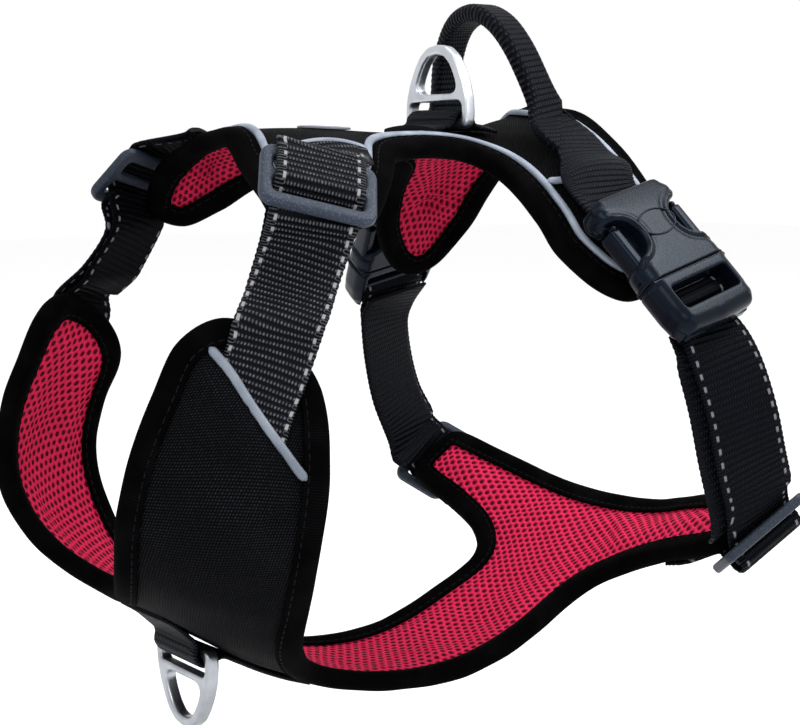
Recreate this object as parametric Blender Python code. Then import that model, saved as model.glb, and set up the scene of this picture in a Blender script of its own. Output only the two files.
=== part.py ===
"""A dog's vest harness, worn by nobody: padded back panel, padded chest-and-belly panel,
webbing straps, plastic sliders and side-release buckles, and two aluminium leash rings.

Axes: +Z is up, the dog walks towards -Y and its left side is +X. The origin is in the middle of the
back panel, where the dog's back holds the harness. Tables are in millimetres, Blender is in metres.
"""
import math

import bmesh
import bpy
import numpy as np
from mathutils import Matrix, Vector
from mathutils.geometry import delaunay_2d_cdt

MM = 0.001

# ---------------------------------------------------------------- driving dimensions, mm
GAP = 0.3                 # clearance between pieces that touch on the real harness
WEBBING_WIDTH = 25.0      # 1 inch webbing
WEBBING_THICK = 1.6
BINDING_WIDTH = 7.6       # how far the edge tape reaches over the panel
BINDING_WALL = 0.9
PANEL_HALF = 1.9          # half of the padded layers' thickness inside the edge tape
SHELL_LOW, SHELL_HIGH = 0.4, 1.6
LINING_HIGH, LINING_LOW, LINING_PUFF = 0.1, -1.6, 1.5
LAYER_INSET = 1.3         # where shell and lining end inside the edge tape
PIPING_WIDTH = 2.3
PIPING_HIGH = 3.3
MESH_STEP = 10.5          # spacing of the points inside a panel

SLIDER = dict(length=33.0, height=21.0, thick=3.2, rail=4.0, bar=3.0, corner=4.0)
RING = dict(thick=4.0, slot=26.4, slot_low=1.6, slot_high=7.0, chamfer=0.7)
BADGE = dict(length=18.0, width=12.0, thick=1.2, middle=-44.0)
BUCKLE_THICK = 11.0
BUCKLE_CHAMFER = 1.6
PRONG = (11.9, 15.4, 3.5)         # near side, far side and half thickness of a plug's prong
TUNNEL_GAP = 0.45         # running clearance of a prong in the socket
SLIT_PIPING = dict(clear=12.4, low=1.95, high=4.0, width=2.2)
POCKET_PIPING = dict(clear=9.2, low=1.95, high=4.4, width=2.4)
INNER_LAYER_GAP = 2.8     # second layer of a strap, from middle to middle
GIRTH_INNER_AHEAD = 2.5
LOOP_CLEAR = 4.35         # height of the chest ring's bar over the panel's middle surface
TAPE_HIGH = 2.75          # middle of webbing sewn flat on a panel, over its middle surface

# ---------------------------------------------------------------- the worn shape, mm
# cut_a, cut_b: place on the flat cut (a to the dog's left, b to its rear)
# x, y, z: place on the worn harness, at mid-thickness
BACK_LEFT_EDGE = (
    # cut_a cut_b    x      y      z
    (12, -80,       10.0, -81.0, -11.0),
    (32, -86,       28.0, -86.0, -18.0),
    (50, -89,       43.0, -88.5, -25.0),
    (63, -78,       50.0, -79.0, -28.5),
    (61, -62,       50.5, -62.5, -27.5),
    (46, -49,       40.0, -49.0, -19.0),
    (30, -36,       27.5, -36.5, -10.0),
    (26, -20,       23.4, -21.0,  -8.0),
    (27, -7,        23.4,  -6.0,  -9.4),
    (33, 3,         28.0,   2.0, -15.0),
    (50, 6,         40.0,   6.0, -27.5),
    (64, 9,         47.5,   8.5, -38.0),
    (77, 18,        55.5,  17.5, -48.5),
    (83, 30,        61.0,  28.0, -52.0),
    (78, 43,        60.0,  43.0, -45.0),
    (60, 52,        47.5,  52.5, -29.0),
    (46, 53,        38.5,  53.0, -19.5),
    (30, 53,        25.5,  53.0,  -7.5),
    (12, 50,        10.0,  50.0,   3.5),
)
BACK_RIGHT_EDGE = (
    (-14, -79,     -12.0, -77.5,  -4.5),
    (-32, -84,     -26.0, -77.5,  -7.0),
    (-50, -88,     -43.0, -78.5, -13.5),
    (-63, -78,     -51.5, -77.0, -25.5),
    (-61, -62,     -49.0, -66.0, -30.5),
    (-46, -49,     -39.0, -56.5, -25.0),
    (-30, -36,     -27.0, -43.0, -14.0),
    (-26, -20,     -23.4, -22.0,  -8.0),
    (-27, -7,      -23.4,  -6.0,  -9.4),
    (-33, 3,       -29.0,   2.0, -14.0),
    (-50, 6,       -43.0,   8.0, -24.0),
    (-64, 9,       -50.5,  12.0, -36.0),
    (-77, 18,      -55.5,  20.5, -47.0),
    (-83, 30,      -57.5,  31.0, -50.5),
    (-78, 43,      -54.0,  40.5, -46.0),
    (-60, 52,      -45.0,  47.0, -34.0),
    (-46, 53,      -34.5,  48.0, -22.0),
    (-30, 53,      -25.0,  51.0,  -8.5),
    (-12, 50,      -10.0,  48.0,   5.0),
)
BACK_MIDDLE = (
    (0, -78,         0.0, -79.0,  -4.5),
    (0, -66,         0.0, -66.0,  -2.5),
    (0, -45,         0.0, -45.0,  -2.6),
    (0, -20,         0.0, -20.0,  -3.0),
    (0, 5,           0.0,   5.0,  -3.0),
    (0, 28,          0.0,  28.0,   0.5),
    (0, 46,          0.0,  45.0,   5.0),
    (34, -64,       33.5, -64.0, -10.0),
    (-34, -64,     -33.5, -64.0,  -9.0),
    (54, 28,        46.5,  29.0, -22.0),
    (-54, 28,      -46.5,  29.0, -22.0),
)
# left half of the chest-and-belly panel, mirrored for the right half
FRONT_EDGE = (
    (10, -2,        10.0, -121.5, -128.5),
    (27, -14,       27.0, -130.0, -118.0),
    (40, -31,       37.0, -134.0, -101.0),
    (48, -42,       40.0, -132.0, -87.0),
    (59, -56,       41.5, -126.5, -72.0),
    (68, -68,       42.5, -119.0, -57.5),
    (77, -69,       48.0, -109.5, -51.0),
    (86, -58,       53.5,  -99.0, -53.5),
    (93, -44,       56.0,  -90.0, -60.5),
    (95, -31,       59.0,  -84.5, -71.0),
    (91, -14,       66.0,  -86.5, -84.5),
    (86, -1,        69.0,  -89.0, -98.0),
    (76, 12,        66.0,  -89.5, -112.0),
    (62, 28,        56.0,  -86.5, -130.5),
    (43, 47,        41.0,  -79.0, -148.2),
    (31, 66,        30.0,  -65.0, -159.7),
    (28, 92,        27.0,  -38.0, -167.2),
    (28, 120,       27.5,   -9.0, -167.7),
    (28, 150,       28.0,   19.0, -158.7),
    (30, 169,       28.0,   36.5, -149.7),
    (40, 179,       37.5,   44.0, -142.7),
    (58, 186,       54.5,   45.5, -135.7),
    (80, 189,       77.0,   47.5, -128.5),
    (85, 201,       80.5,   58.0, -121.0),
    (80, 213,       77.0,   68.0, -114.5),
    (56, 216,       53.0,   71.0, -119.0),
    (29, 217,       29.0,   75.5, -125.0),
)
FRONT_MIDDLE = (
    (0, 0,           0.0, -119.0, -130.5),
    (0, 15,          0.0, -107.5, -138.0),
    (0, 42,          0.0,  -86.0, -152.0),
    (0, 69,          0.0,  -61.5, -164.0),
    (0, 92,          0.0,  -38.5, -170.0),
    (0, 120,         0.0,   -9.5, -171.0),
    (0, 150,         0.0,   19.0, -163.0),
    (0, 175,         0.0,   41.0, -152.0),
    (0, 195,         0.0,   57.5, -141.0),
    (0, 218,         0.0,   76.0, -127.0),
)
FRONT_INNER = (
    (48, 2,         48.5, -113.0, -121.5),
    (67, -22,       58.5, -112.5, -90.5),
    (79, -46,       54.0, -103.5, -66.0),
)
# seams on the flat cut: the slanted pocket edge on a neck arm, and the lines where webbing comes
# out of the back panel's front and rear arms
POCKET_EDGE = ((73.5, -62), (75.0, -52), (76.0, -40), (78.0, -26), (80.5, -14), (82.0, -9))
FRONT_SLIT = ((20.5, -80), (22.0, -74), (24.5, -66), (28.5, -58), (33.0, -49))
REAR_SLIT = ((40.0, 12), (43.5, 19), (45.5, 27), (47.0, 34), (48.0, 42))

# where hard pieces sit on the left side: middle, direction across the webbing, direction along it
NECK_SLIDER_AT = ((51.4, -80.1, -16.7), (0.31, 0.93, -0.19), (0.57, -0.40, -0.70))
RIGHT_SLIDER_MOVE = (-1.5, 2.0, -0.9)   # the right one has slipped further back
BELLY_SLIDER_AT = ((81.5, 62.3, -124.6), (0.176, 0.823, 0.544), (-0.779, 0.455, -0.436))
BUCKLE_AT = ((54.3, 26.8, -21.1), (-0.10, 0.93, 0.24), (0.625, 0.25, -0.74))
BACK_RING_AT = (0.0, 0.0, 1.1)
CHEST_LOOP_AT = 35.5      # place of the chest ring's bar on the flat cut
BACK_LOOP_REACH = 13.0
BACK_LOOP_REST = -1.2     # height of the flat parts of a loop against the ring's bar
CHEST_LOOP_REST = -1.6
CHEST_TAPE_END = 75.0

# webbing in the open: x, y, z of its middle and the direction across it
# webbing lying on a panel: place on the flat cut, height over the cloth, run, line of the width
NECK_STRAP_START = (
    (30.8, -65.5, 5.5,   1.0, -0.2,  0.36, 0.93),
    (37.0, -67.0, 5.5,   1.0, -0.2,  0.30, 0.95),
)
NECK_STRAP_END = (
    (92.5, -61.5, 5.1,  -0.45, 0.89,  0.89, 0.45),
    (88.8, -53.5, 4.8,  -0.45, 0.89,  0.85, 0.53),
    (86.6, -47.5, 4.6,  -0.45, 0.89,  0.72, 0.69),
    (81.6, -38.5, 4.4,  -0.45, 0.89,  0.14, 0.99),
)
GIRTH_STRAP_END = (
    (66.0, 200.5, 4.1,  -1.0, 0.0,   0.0, 1.0),
    (56.0, 200.5, 4.1,  -1.0, 0.0,   0.0, 1.0),
)
HANDLE_FLAT = (
    (45.5, 27.0, 6.3,   -1.0, 0.0,   0.0, 1.0),
    (38.5, 26.8, 4.7,   -1.0, 0.0,   0.0, 1.0),
)
NECK_FREE = (
    (50.9, -83.5, -32.0,   0.41, 0.90, -0.02),
    (53.3, -89.3, -42.5,   0.35, 0.93,  0.00),
)
NECK_INNER = (
    (50.6, -83.1, -30.5,   0.41, 0.90, -0.02),
    (53.3, -89.3, -42.5,   0.35, 0.93,  0.00),
    (54.3, -91.4, -46.0,   0.35, 0.93,  0.00),
)
GIRTH_FREE = (
    (84.4,  39.4, -63.6,   0.08, 0.96,  0.14),
    (87.5,  41.0, -71.0,   0.21, 0.97,  0.02),
    (89.8,  44.5, -84.0,   0.22, 0.97,  0.02),
    (90.0,  48.5, -98.0,   0.20, 0.95,  0.15),
    (88.5,  54.0, -110.5,  0.18, 0.90,  0.35),
)
# the grab handle from the fold on the left arm over to the right: middle, across, width, thickness
HANDLE = (
    #  x     y      z     wx    wy   wz    width thick
    (28.5, 27.0,  -2.0,  0.05, 1.0, 0.0,   24.0,  1.8),
    (24.5, 26.0,   3.0,  0.05, 1.0, 0.0,   18.0,  3.2),
    (20.5, 24.5,  10.0,  0.05, 1.0, 0.0,   11.5,  5.4),
    (12.5, 22.0,  25.0,  0.05, 1.0, 0.0,   10.5,  5.8),
    (3.0,  21.5,  34.0,  0.05, 1.0, 0.0,   10.5,  5.8),
    (-9.0, 22.5,  37.5,  0.05, 1.0, 0.0,   10.5,  5.8),
    (-23.0, 25.5, 34.0,  0.05, 1.0, 0.0,   10.5,  5.8),
    (-33.0, 28.5, 23.0,  0.05, 1.0, 0.0,   10.5,  5.8),
    (-36.0, 30.0, 10.0,  0.05, 1.0, 0.0,   11.5,  5.4),
    (-35.5, 30.0,  1.0,  0.0,  1.0, 0.0,   18.0,  3.2),
    (-35.5, 29.0, -6.0,  0.0,  1.0, 0.0,   24.0,  1.8),
)

# paths of webbing through hardware, in the piece's own frame: along, out
OVER_NECK_SLIDER = ((-12.5, 1.6), (-9.0, 2.75), (0.0, 2.75), (2.1, 2.7), (3.5, 1.4), (4.1, 0.0),
                    (4.7, -1.4), (6.1, -2.9), (9.8, -3.5))
ROUND_BELLY_SLIDER = ((-12.0, -5.6), (-7.4, -3.3), (-5.0, -1.5), (-4.1, 0.3), (-3.9, 2.4),
                      (-2.8, 4.6), (0.0, 5.6), (2.8, 4.6), (3.9, 2.4), (4.1, 0.3), (4.6, -1.5),
                      (6.2, -3.6))
THROUGH_PLUG = ((36.6, -3.8), (36.8, -1.7), (37.6, -0.5), (38.8, -0.2), (40.1, -0.5),
                (41.0, -1.7), (41.6, -3.4), (42.8, -4.35), (47.0, -4.4))
GIRTH_INNER_START = ((44.0, -5.0),)

# outlines of hard pieces: half the shape, across and along
RING_HALF = ((0.0, -1.5), (11.0, -1.5), (14.4, -1.1), (15.7, 0.6), (15.9, 3.5), (15.5, 8.0),
             (13.9, 13.0), (11.5, 17.6), (8.6, 21.6), (4.8, 24.2), (0.0, 25.0))
RING_HOLE_HALF = ((0.0, 9.5), (7.4, 9.5), (9.8, 10.4), (10.2, 12.2), (8.9, 15.2), (6.6, 18.8),
                  (3.6, 21.3), (0.0, 22.0))
SOCKET_HALF = ((0.0, 0.0), (12.6, 0.0), (15.2, 1.4), (16.9, 3.8), (17.2, 6.0), (15.8, 8.2),
               (13.0, 10.3), (11.5, 13.0), (11.2, 16.4), (11.8, 19.6), (13.6, 22.4),
               (16.4, 24.6), (17.2, 26.2), (17.2, 30.6), (0.0, 30.6))
PLUG_HALF = ((0.0, 31.4), (17.2, 31.4), (17.2, 41.0), (16.4, 46.2), (14.0, 49.2), (0.0, 50.0))


# ---------------------------------------------------------------- scene and materials
def clear_scene():
    for found in list(bpy.data.objects):
        bpy.data.objects.remove(found, do_unlink=True)


def material(name, colour, roughness, metallic=0.0):
    made = bpy.data.materials.new(name)
    made.use_nodes = True
    shader = made.node_tree.nodes["Principled BSDF"]
    shader.inputs["Base Color"].default_value = (*colour, 1.0)
    shader.inputs["Roughness"].default_value = roughness
    shader.inputs["Metallic"].default_value = metallic
    return made


def add_object(name, points, faces, finish):
    """One closed mesh from points in millimetres."""
    mesh = bpy.data.meshes.new(name)
    mesh.from_pydata([tuple(p) for p in np.asarray(points, float) * MM], [], faces)
    mesh.materials.append(finish)
    mesh.update()
    made = bpy.data.objects.new(name, mesh)
    bpy.context.scene.collection.objects.link(made)
    return made


# ---------------------------------------------------------------- curves
def unit(vectors):
    vectors = np.asarray(vectors, float)
    return vectors / np.linalg.norm(vectors, axis=-1, keepdims=True)


def through(points, per_span=16, closed=False):
    """A smooth curve (Catmull-Rom) through points of any dimension."""
    points = np.asarray(points, float)
    count = len(points)
    if closed:
        padded = np.vstack([points[-1], points, points[0], points[1]])
        spans = count
    else:
        first = 2 * points[0] - points[1]
        last = 2 * points[-1] - points[-2]
        padded = np.vstack([first, points, last])
        spans = count - 1
    t = np.linspace(0, 1, per_span, endpoint=False)[:, None]
    pieces = []
    for i in range(spans):
        a, b, c, d = padded[i:i + 4]
        pieces.append(0.5 * (2 * b + (c - a) * t + (2 * a - 5 * b + 4 * c - d) * t ** 2
                             + (3 * b - a - 3 * c + d) * t ** 3))
    if not closed:
        pieces.append(points[-1:])
    return np.vstack(pieces)


def respaced(curve, shortest, longest, flatness, closed=False):
    """The curve's points set closer where it bends: each chord leaves it by about the flatness."""
    loop = np.vstack([curve, curve[:1]]) if closed else curve
    steps = np.linalg.norm(np.diff(loop, axis=0), axis=1)
    along = np.r_[0, np.cumsum(steps)]
    if closed:
        before, after = np.roll(curve, 1, axis=0), np.roll(curve, -1, axis=0)
    else:
        before = np.vstack([curve[:1], curve[:-1]])
        after = np.vstack([curve[1:], curve[-1:]])
    ahead, behind = after - curve, curve - before
    reach = 0.5 * (np.linalg.norm(ahead, axis=1) + np.linalg.norm(behind, axis=1))
    cosine = (ahead * behind).sum(axis=1) / np.maximum(
        np.linalg.norm(ahead, axis=1) * np.linalg.norm(behind, axis=1), 1e-9)
    bend = np.arccos(np.clip(cosine, -1, 1)) / reach
    if not closed:
        bend[0], bend[-1] = bend[1], bend[-2]
    kernel = np.ones(9) / 9
    wrapped = np.r_[bend[-4:], bend, bend[:4]] if closed else np.r_[bend[:1].repeat(4), bend,
                                                                     bend[-1:].repeat(4)]
    bend = np.convolve(wrapped, kernel, "valid")
    chord = np.clip(np.sqrt(8 * flatness / np.maximum(bend, 1e-6)), shortest, longest)
    if closed:
        chord = np.r_[chord, chord[0]]
    density = np.r_[0, np.cumsum(steps * 0.5 * (1 / chord[1:] + 1 / chord[:-1]))]
    count = max(3, int(round(density[-1])))
    wanted = np.linspace(0, density[-1], count + 1)
    if closed:
        wanted = wanted[:-1]
    places = np.interp(wanted, density, along)
    return np.column_stack([np.interp(places, along, loop[:, k]) for k in range(loop.shape[1])])


# ---------------------------------------------------------------- cloth: flat cut to worn shape
class Drape:
    """Carries points of the flat cut to the worn harness, smoothly through a table's rows."""

    def __init__(self, rows, outward, softness=2e-4):
        rows = np.asarray(rows, float)
        self.cut, worn = rows[:, :2] / 100, rows[:, 2:]
        self.outward = outward
        count = len(rows)
        near = self._bend(np.linalg.norm(self.cut[:, None] - self.cut[None], axis=2))
        system = np.zeros((count + 3, count + 3))
        system[:count, :count] = near + softness * np.eye(count)
        system[:count, count] = system[count, :count] = 1
        system[:count, count + 1:] = self.cut
        system[count + 1:, :count] = self.cut.T
        right = np.zeros((count + 3, 3))
        right[:count] = worn
        self.weights = np.linalg.solve(system, right)

    @staticmethod
    def _bend(distance):
        return distance ** 2 * np.log(np.maximum(distance, 1e-9))

    def at(self, cut):
        cut = np.atleast_2d(np.asarray(cut, float)) / 100
        near = self._bend(np.linalg.norm(cut[:, None] - self.cut[None], axis=2))
        plain = np.column_stack([np.ones(len(cut)), cut])
        return np.column_stack([near, plain]) @ self.weights

    def slopes(self, cut, step=0.5):
        cut = np.atleast_2d(np.asarray(cut, float))
        along_a, along_b = np.array([step, 0]), np.array([0, step])
        by_a = (self.at(cut + along_a) - self.at(cut - along_a)) / (2 * step)
        by_b = (self.at(cut + along_b) - self.at(cut - along_b)) / (2 * step)
        return by_a, by_b

    def normals(self, cut):
        by_a, by_b = self.slopes(cut)
        return self.outward * unit(np.cross(by_a, by_b))

    def inward(self, cut, tangent, sign):
        """Steps on the flat cut that are 1 mm long on the worn cloth, square to the edge."""
        by_a, by_b = self.slopes(cut)
        aa, ab, bb = (by_a * by_a).sum(1), (by_a * by_b).sum(1), (by_b * by_b).sum(1)
        across = sign * np.column_stack([-tangent[:, 1], tangent[:, 0]])
        area = aa * bb - ab * ab
        step = np.column_stack([(bb * across[:, 0] - ab * across[:, 1]) / area,
                                (aa * across[:, 1] - ab * across[:, 0]) / area])
        size = np.sqrt(aa * step[:, 0] ** 2 + 2 * ab * step[:, 0] * step[:, 1]
                       + bb * step[:, 1] ** 2)
        return step / size[:, None]


class Panel:
    """A padded panel: points on its flat cut, in rings along the edge and a net inside them."""

    def __init__(self, drape, edge, rings, lines=(), step=MESH_STEP):
        self.drape = drape
        curve = through(edge, closed=True)
        self.edge = respaced(curve, 4.0, 12.0, 0.35, closed=True)
        self.count = len(self.edge)
        self.rings = self._rings(rings)
        inner = self.rings[-1]
        net = self._net(inner, step, lines)
        line_points = [np.asarray(line, float) for line in lines]
        points, edges = [inner], [(i, (i + 1) % self.count) for i in range(self.count)]
        total = self.count
        for line in line_points:
            points.append(line)
            edges += [(total + i, total + i + 1) for i in range(len(line) - 1)]
            total += len(line)
        points.append(net)
        flat = np.vstack(points)
        made = delaunay_2d_cdt([tuple(p) for p in flat], edges, [], 1, 1e-4)
        inside_points = np.array([tuple(p) for p in made[0]])
        start = self.count * (len(self.rings) - 1)
        places = np.vstack(self.rings[:-1] + [inside_points])
        lookup = self._match(inner, inside_points)
        self.cut = places
        self.ring_index = [np.arange(self.count) + self.count * k
                           for k in range(len(self.rings) - 1)]
        self.ring_index.append(start + lookup)
        self.faces = []
        for outer, next_in in zip(self.ring_index[:-1], self.ring_index[1:]):
            for i in range(self.count):
                j = (i + 1) % self.count
                self.faces.append((outer[i], outer[j], next_in[j]))
                self.faces.append((outer[i], next_in[j], next_in[i]))
        self.ring_faces = len(self.faces)
        self.faces += [tuple(start + k for k in face) for face in made[2]]
        self.faces = [self._turned(face) for face in self.faces]
        self.points = drape.at(self.cut)
        self.normals = drape.normals(self.cut)
        self.edge_points = drape.at(self.edge)
        self.edge_normals = drape.normals(self.edge)
        self.depth = self.depth_of(self.cut)

    def _rings(self, depths, stride=0.4):
        """Lines inside the edge, moved in by small strides and kept evenly spaced in tight turns."""
        turn = np.sign(self._area(self.edge))
        current, reached, rings = self.edge.copy(), 0.0, []
        spacing = np.linalg.norm(np.roll(current, -1, axis=0) - current, axis=1)
        for depth in depths:
            count = max(1, math.ceil((depth - reached) / stride))
            for _ in range(count):
                ahead = np.roll(current, -1, axis=0) - current
                behind = current - np.roll(current, 1, axis=0)
                tangent = unit(unit(ahead) + unit(behind))
                inward = self.drape.inward(current, tangent, turn)
                current = current + inward * (depth - reached) / count
                ahead = np.linalg.norm(np.roll(current, -1, axis=0) - current, axis=1)
                tight = np.clip(1.15 - ahead / spacing, 0, 1)
                tight = np.maximum(tight, np.roll(tight, 1))
                middle = 0.5 * (np.roll(current, -1, axis=0) + np.roll(current, 1, axis=0))
                slide = ((middle - current) * tangent).sum(1)[:, None] * tangent
                current = current + 0.5 * tight[:, None] * slide
            reached = depth
            rings.append(current.copy())
        return rings

    @staticmethod
    def _area(loop):
        x, y = loop[:, 0], loop[:, 1]
        return 0.5 * float(np.sum(x * np.roll(y, -1) - np.roll(x, -1) * y))

    @staticmethod
    def _match(wanted, available):
        distance = np.linalg.norm(wanted[:, None] - available[None], axis=2)
        return distance.argmin(axis=1)

    def _turned(self, face):
        a, b, c = (self.cut[k] for k in face)
        area = (b[0] - a[0]) * (c[1] - a[1]) - (b[1] - a[1]) * (c[0] - a[0])
        wanted = self.drape.outward
        return face if area * wanted > 0 else (face[0], face[2], face[1])

    @staticmethod
    def _inside(points, loop):
        x, y = points[:, 0], points[:, 1]
        hit = np.zeros(len(points), bool)
        for (x0, y0), (x1, y1) in zip(loop, np.roll(loop, -1, axis=0)):
            crosses = (y0 > y) != (y1 > y)
            with np.errstate(divide="ignore", invalid="ignore"):
                hit ^= crosses & (x < (x1 - x0) * (y - y0) / (y1 - y0) + x0)
        return hit

    @staticmethod
    def _away(points, line, closed):
        line = np.asarray(line, float)
        ends = np.roll(line, -1, axis=0) if closed else line[1:]
        starts = line if closed else line[:-1]
        best = np.full(len(points), np.inf)
        for a, b in zip(starts, ends):
            span = b - a
            t = np.clip((points - a) @ span / max(span @ span, 1e-9), 0, 1)
            best = np.minimum(best, np.linalg.norm(points - a - t[:, None] * span, axis=1))
        return best

    def _net(self, loop, step, lines):
        low, high = loop.min(axis=0), loop.max(axis=0)
        rows = []
        height = step * math.sqrt(3) / 2
        for k in range(int((high[1] - low[1]) / height) + 2):
            shift = 0.5 * step * (k % 2)
            half = int(max(abs(low[0]), abs(high[0])) / step) + 1
            rows += [(i * step + shift, low[1] + k * height) for i in range(-half, half + 1)]
        points = np.array(rows)
        points = points[self._inside(points, loop)]
        points = points[self._away(points, loop, True) > 0.55 * step]
        for line in lines:
            points = points[self._away(points, line, False) > 0.5 * step]
        return points

    def depth_of(self, cut):
        """Distance from the edge on the worn cloth, in mm, near enough for soft shapes."""
        points = self.drape.at(cut)
        loop = self.drape.at(self.edge)
        best = np.full(len(points), np.inf)
        for a, b in zip(loop, np.roll(loop, -1, axis=0)):
            span = b - a
            t = np.clip((points - a) @ span / (span @ span), 0, 1)
            best = np.minimum(best, np.linalg.norm(points - a - t[:, None] * span, axis=1))
        return best

    def layer(self, name, low, high, finish, keep=None):
        """A sheet of cloth: the panel's faces between two heights over its middle surface."""
        faces = self.faces if keep is None else [f for f in self.faces if keep(self.cut[list(f)])]
        used = sorted({k for face in faces for k in face})
        order = {k: i for i, k in enumerate(used)}
        used = np.array(used)
        low, high = (np.broadcast_to(level(used) if callable(level) else level, used.shape)
                     for level in (low, high))
        under = self.points[used] + self.normals[used] * low[:, None]
        over = self.points[used] + self.normals[used] * high[:, None]
        shift = len(used)
        top = [tuple(order[k] + shift for k in face) for face in faces]
        bottom = [tuple(order[k] for k in reversed(face)) for face in faces]
        open_edges = {}
        for face in faces:
            for a, b in zip(face, face[1:] + face[:1]):
                if (b, a) in open_edges:
                    del open_edges[(b, a)]
                else:
                    open_edges[(a, b)] = True
        sides = []
        for a, b in open_edges:
            i, j = order[a], order[b]
            sides += [(i, j, j + shift), (i, j + shift, i + shift)]
        return add_object(name, np.vstack([under, over]), top + bottom + sides, finish)

    def swept(self, name, profile, ring_depths, finish, crossed=()):
        """A closed band along the whole edge. Profile rows are (depth from the edge, height)."""
        rings = [(self.edge_points, self.edge_normals)]
        rings += [(self.points[index], self.normals[index]) for index in self.ring_index]
        depths = [0.0] + list(ring_depths)
        columns = []
        for depth, height in profile:
            k = int(np.clip(np.searchsorted(depths, depth) - 1, 0, len(depths) - 2))
            share = (depth - depths[k]) / (depths[k + 1] - depths[k])
            near, far = rings[k], rings[k + 1]
            columns.append((1 - share) * (near[0] + near[1] * height)
                           + share * (far[0] + far[1] * height))
        return sweep(name, columns, finish, closed=True, crossed=crossed)


def sweep(name, columns, finish, closed=False, crossed=()):
    """Joins matching points of several lines into a bar. Columns go round the section.

    The crossed sides are cut into triangles along their other diagonal."""
    columns = np.array(columns)
    sides, count = columns.shape[:2]
    points = columns.transpose(1, 0, 2).reshape(-1, 3)
    faces = []
    for i in range(count if closed else count - 1):
        j = (i + 1) % count
        for k in range(sides):
            m = (k + 1) % sides
            a, b = i * sides + k, i * sides + m
            c, d = j * sides + m, j * sides + k
            faces += [(a, b, d), (b, c, d)] if k in crossed else [(a, b, c), (a, c, d)]
    if not closed:
        faces.append(tuple(range(sides - 1, -1, -1)))
        faces.append(tuple((count - 1) * sides + k for k in range(sides)))
    made = add_object(name, points, faces, finish)
    face_outwards(made)
    return made


def face_outwards(made):
    """Turns every face the same way round, out of the solid."""
    work = bmesh.new()
    work.from_mesh(made.data)
    bmesh.ops.recalc_face_normals(work, faces=work.faces)
    if work.calc_volume(signed=True) < 0:
        bmesh.ops.reverse_faces(work, faces=work.faces)
    work.to_mesh(made.data)
    work.free()


def ribbon(name, rows, finish):
    """Webbing from rows of its left, middle and right points and its thickness."""
    rows = np.asarray(rows, float)
    left, middle, right = rows[:, 0:3], rows[:, 3:6], rows[:, 6:9]
    along = np.zeros_like(middle)
    along[1:-1] = unit(unit(middle[2:] - middle[1:-1]) + unit(middle[1:-1] - middle[:-2]))
    along[0], along[-1] = unit(middle[1] - middle[0]), unit(middle[-1] - middle[-2])
    out = unit(np.cross(along, right - left)) * rows[:, 9:10] / 2
    columns = [left - out, middle - out, right - out, right + out, middle + out, left + out]
    return sweep(name, columns, finish)


def webbing_rows(middle, across, width=WEBBING_WIDTH, thick=WEBBING_THICK):
    """Rows for webbing that is flat across, one for each middle point."""
    middle = np.asarray(middle, float)
    half = np.broadcast_to(unit(across), middle.shape) * np.reshape(width, (-1, 1)) / 2
    thick = np.broadcast_to(np.reshape(thick, (-1, 1)), (len(middle), 1))
    return np.hstack([middle - half, middle, middle + half, thick])


def table_rows(table):
    table = np.array(table, float)
    if table.shape[1] == 6:
        return webbing_rows(table[:, :3], table[:, 3:])
    return webbing_rows(table[:, :3], table[:, 3:6], table[:, 6], table[:, 7])


def eased(rows, shortest=1.9, longest=15.0, flatness=0.2):
    return respaced(through(np.asarray(rows, float)), shortest, longest, flatness)


def mirror_rows(rows):
    """The same webbing on the harness's right side."""
    rows = np.array(rows, float)[:, [6, 7, 8, 3, 4, 5, 0, 1, 2, 9]]
    rows[:, [0, 3, 6]] *= -1
    return rows


class Frame:
    """Where a hard piece sits: its middle and its across, along and outward directions."""

    def __init__(self, middle, across, along):
        self.middle = np.array(middle, float)
        self.along = unit(along)
        across = np.array(across, float)
        self.across = unit(across - (across @ self.along) * self.along)
        self.out = np.cross(self.along, self.across)

    def at(self, across, along, out):
        return (self.middle + np.multiply.outer(across, self.across)
                + np.multiply.outer(along, self.along) + np.multiply.outer(out, self.out))

    def rows(self, path):
        path = np.array(path, float)
        points = self.at(np.zeros(len(path)), path[:, 0], path[:, 1])
        return webbing_rows(points, self.across)

    def mirrored(self, move=(0, 0, 0)):
        flip = np.array([-1.0, 1.0, 1.0])
        return Frame(self.middle * flip + move, -self.across * flip, self.along * flip)


# ---------------------------------------------------------------- hard pieces
def whole(half):
    """A closed outline from its right half, given from one end of the middle line to the other."""
    half = np.array(half, float)
    other = half[::-1].copy()
    other[:, 0] *= -1
    keep = np.abs(other[:, 0]) > 1e-9
    return np.vstack([half, other[keep]])


def rounded_box(width, low, high, radius, steps=3):
    """A rounded rectangle's outline, across -width/2..width/2 and along low..high."""
    corners = ((1, low, -90), (1, high, 0), (-1, high, 90), (-1, low, 180))
    points = []
    for side, level, start in corners:
        x = side * (width / 2 - radius)
        y = level + radius if level == low else level - radius
        for k in range(steps + 1):
            angle = math.radians(start + 90 * k / steps)
            points.append((x + radius * math.cos(angle), y + radius * math.sin(angle)))
    return np.array(points)


def inset(loop, amount):
    """The outline moved by the amount to its left, corners kept sharp."""
    ahead = unit(np.roll(loop, -1, axis=0) - loop)
    behind = unit(loop - np.roll(loop, 1, axis=0))
    left = np.column_stack([-ahead[:, 1], ahead[:, 0]]) + np.column_stack([-behind[:, 1],
                                                                           behind[:, 0]])
    left = unit(left)
    square = np.column_stack([-ahead[:, 1], ahead[:, 0]])
    share = np.maximum((left * square).sum(1, keepdims=True), 0.5)
    return loop + left * amount / share


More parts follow.
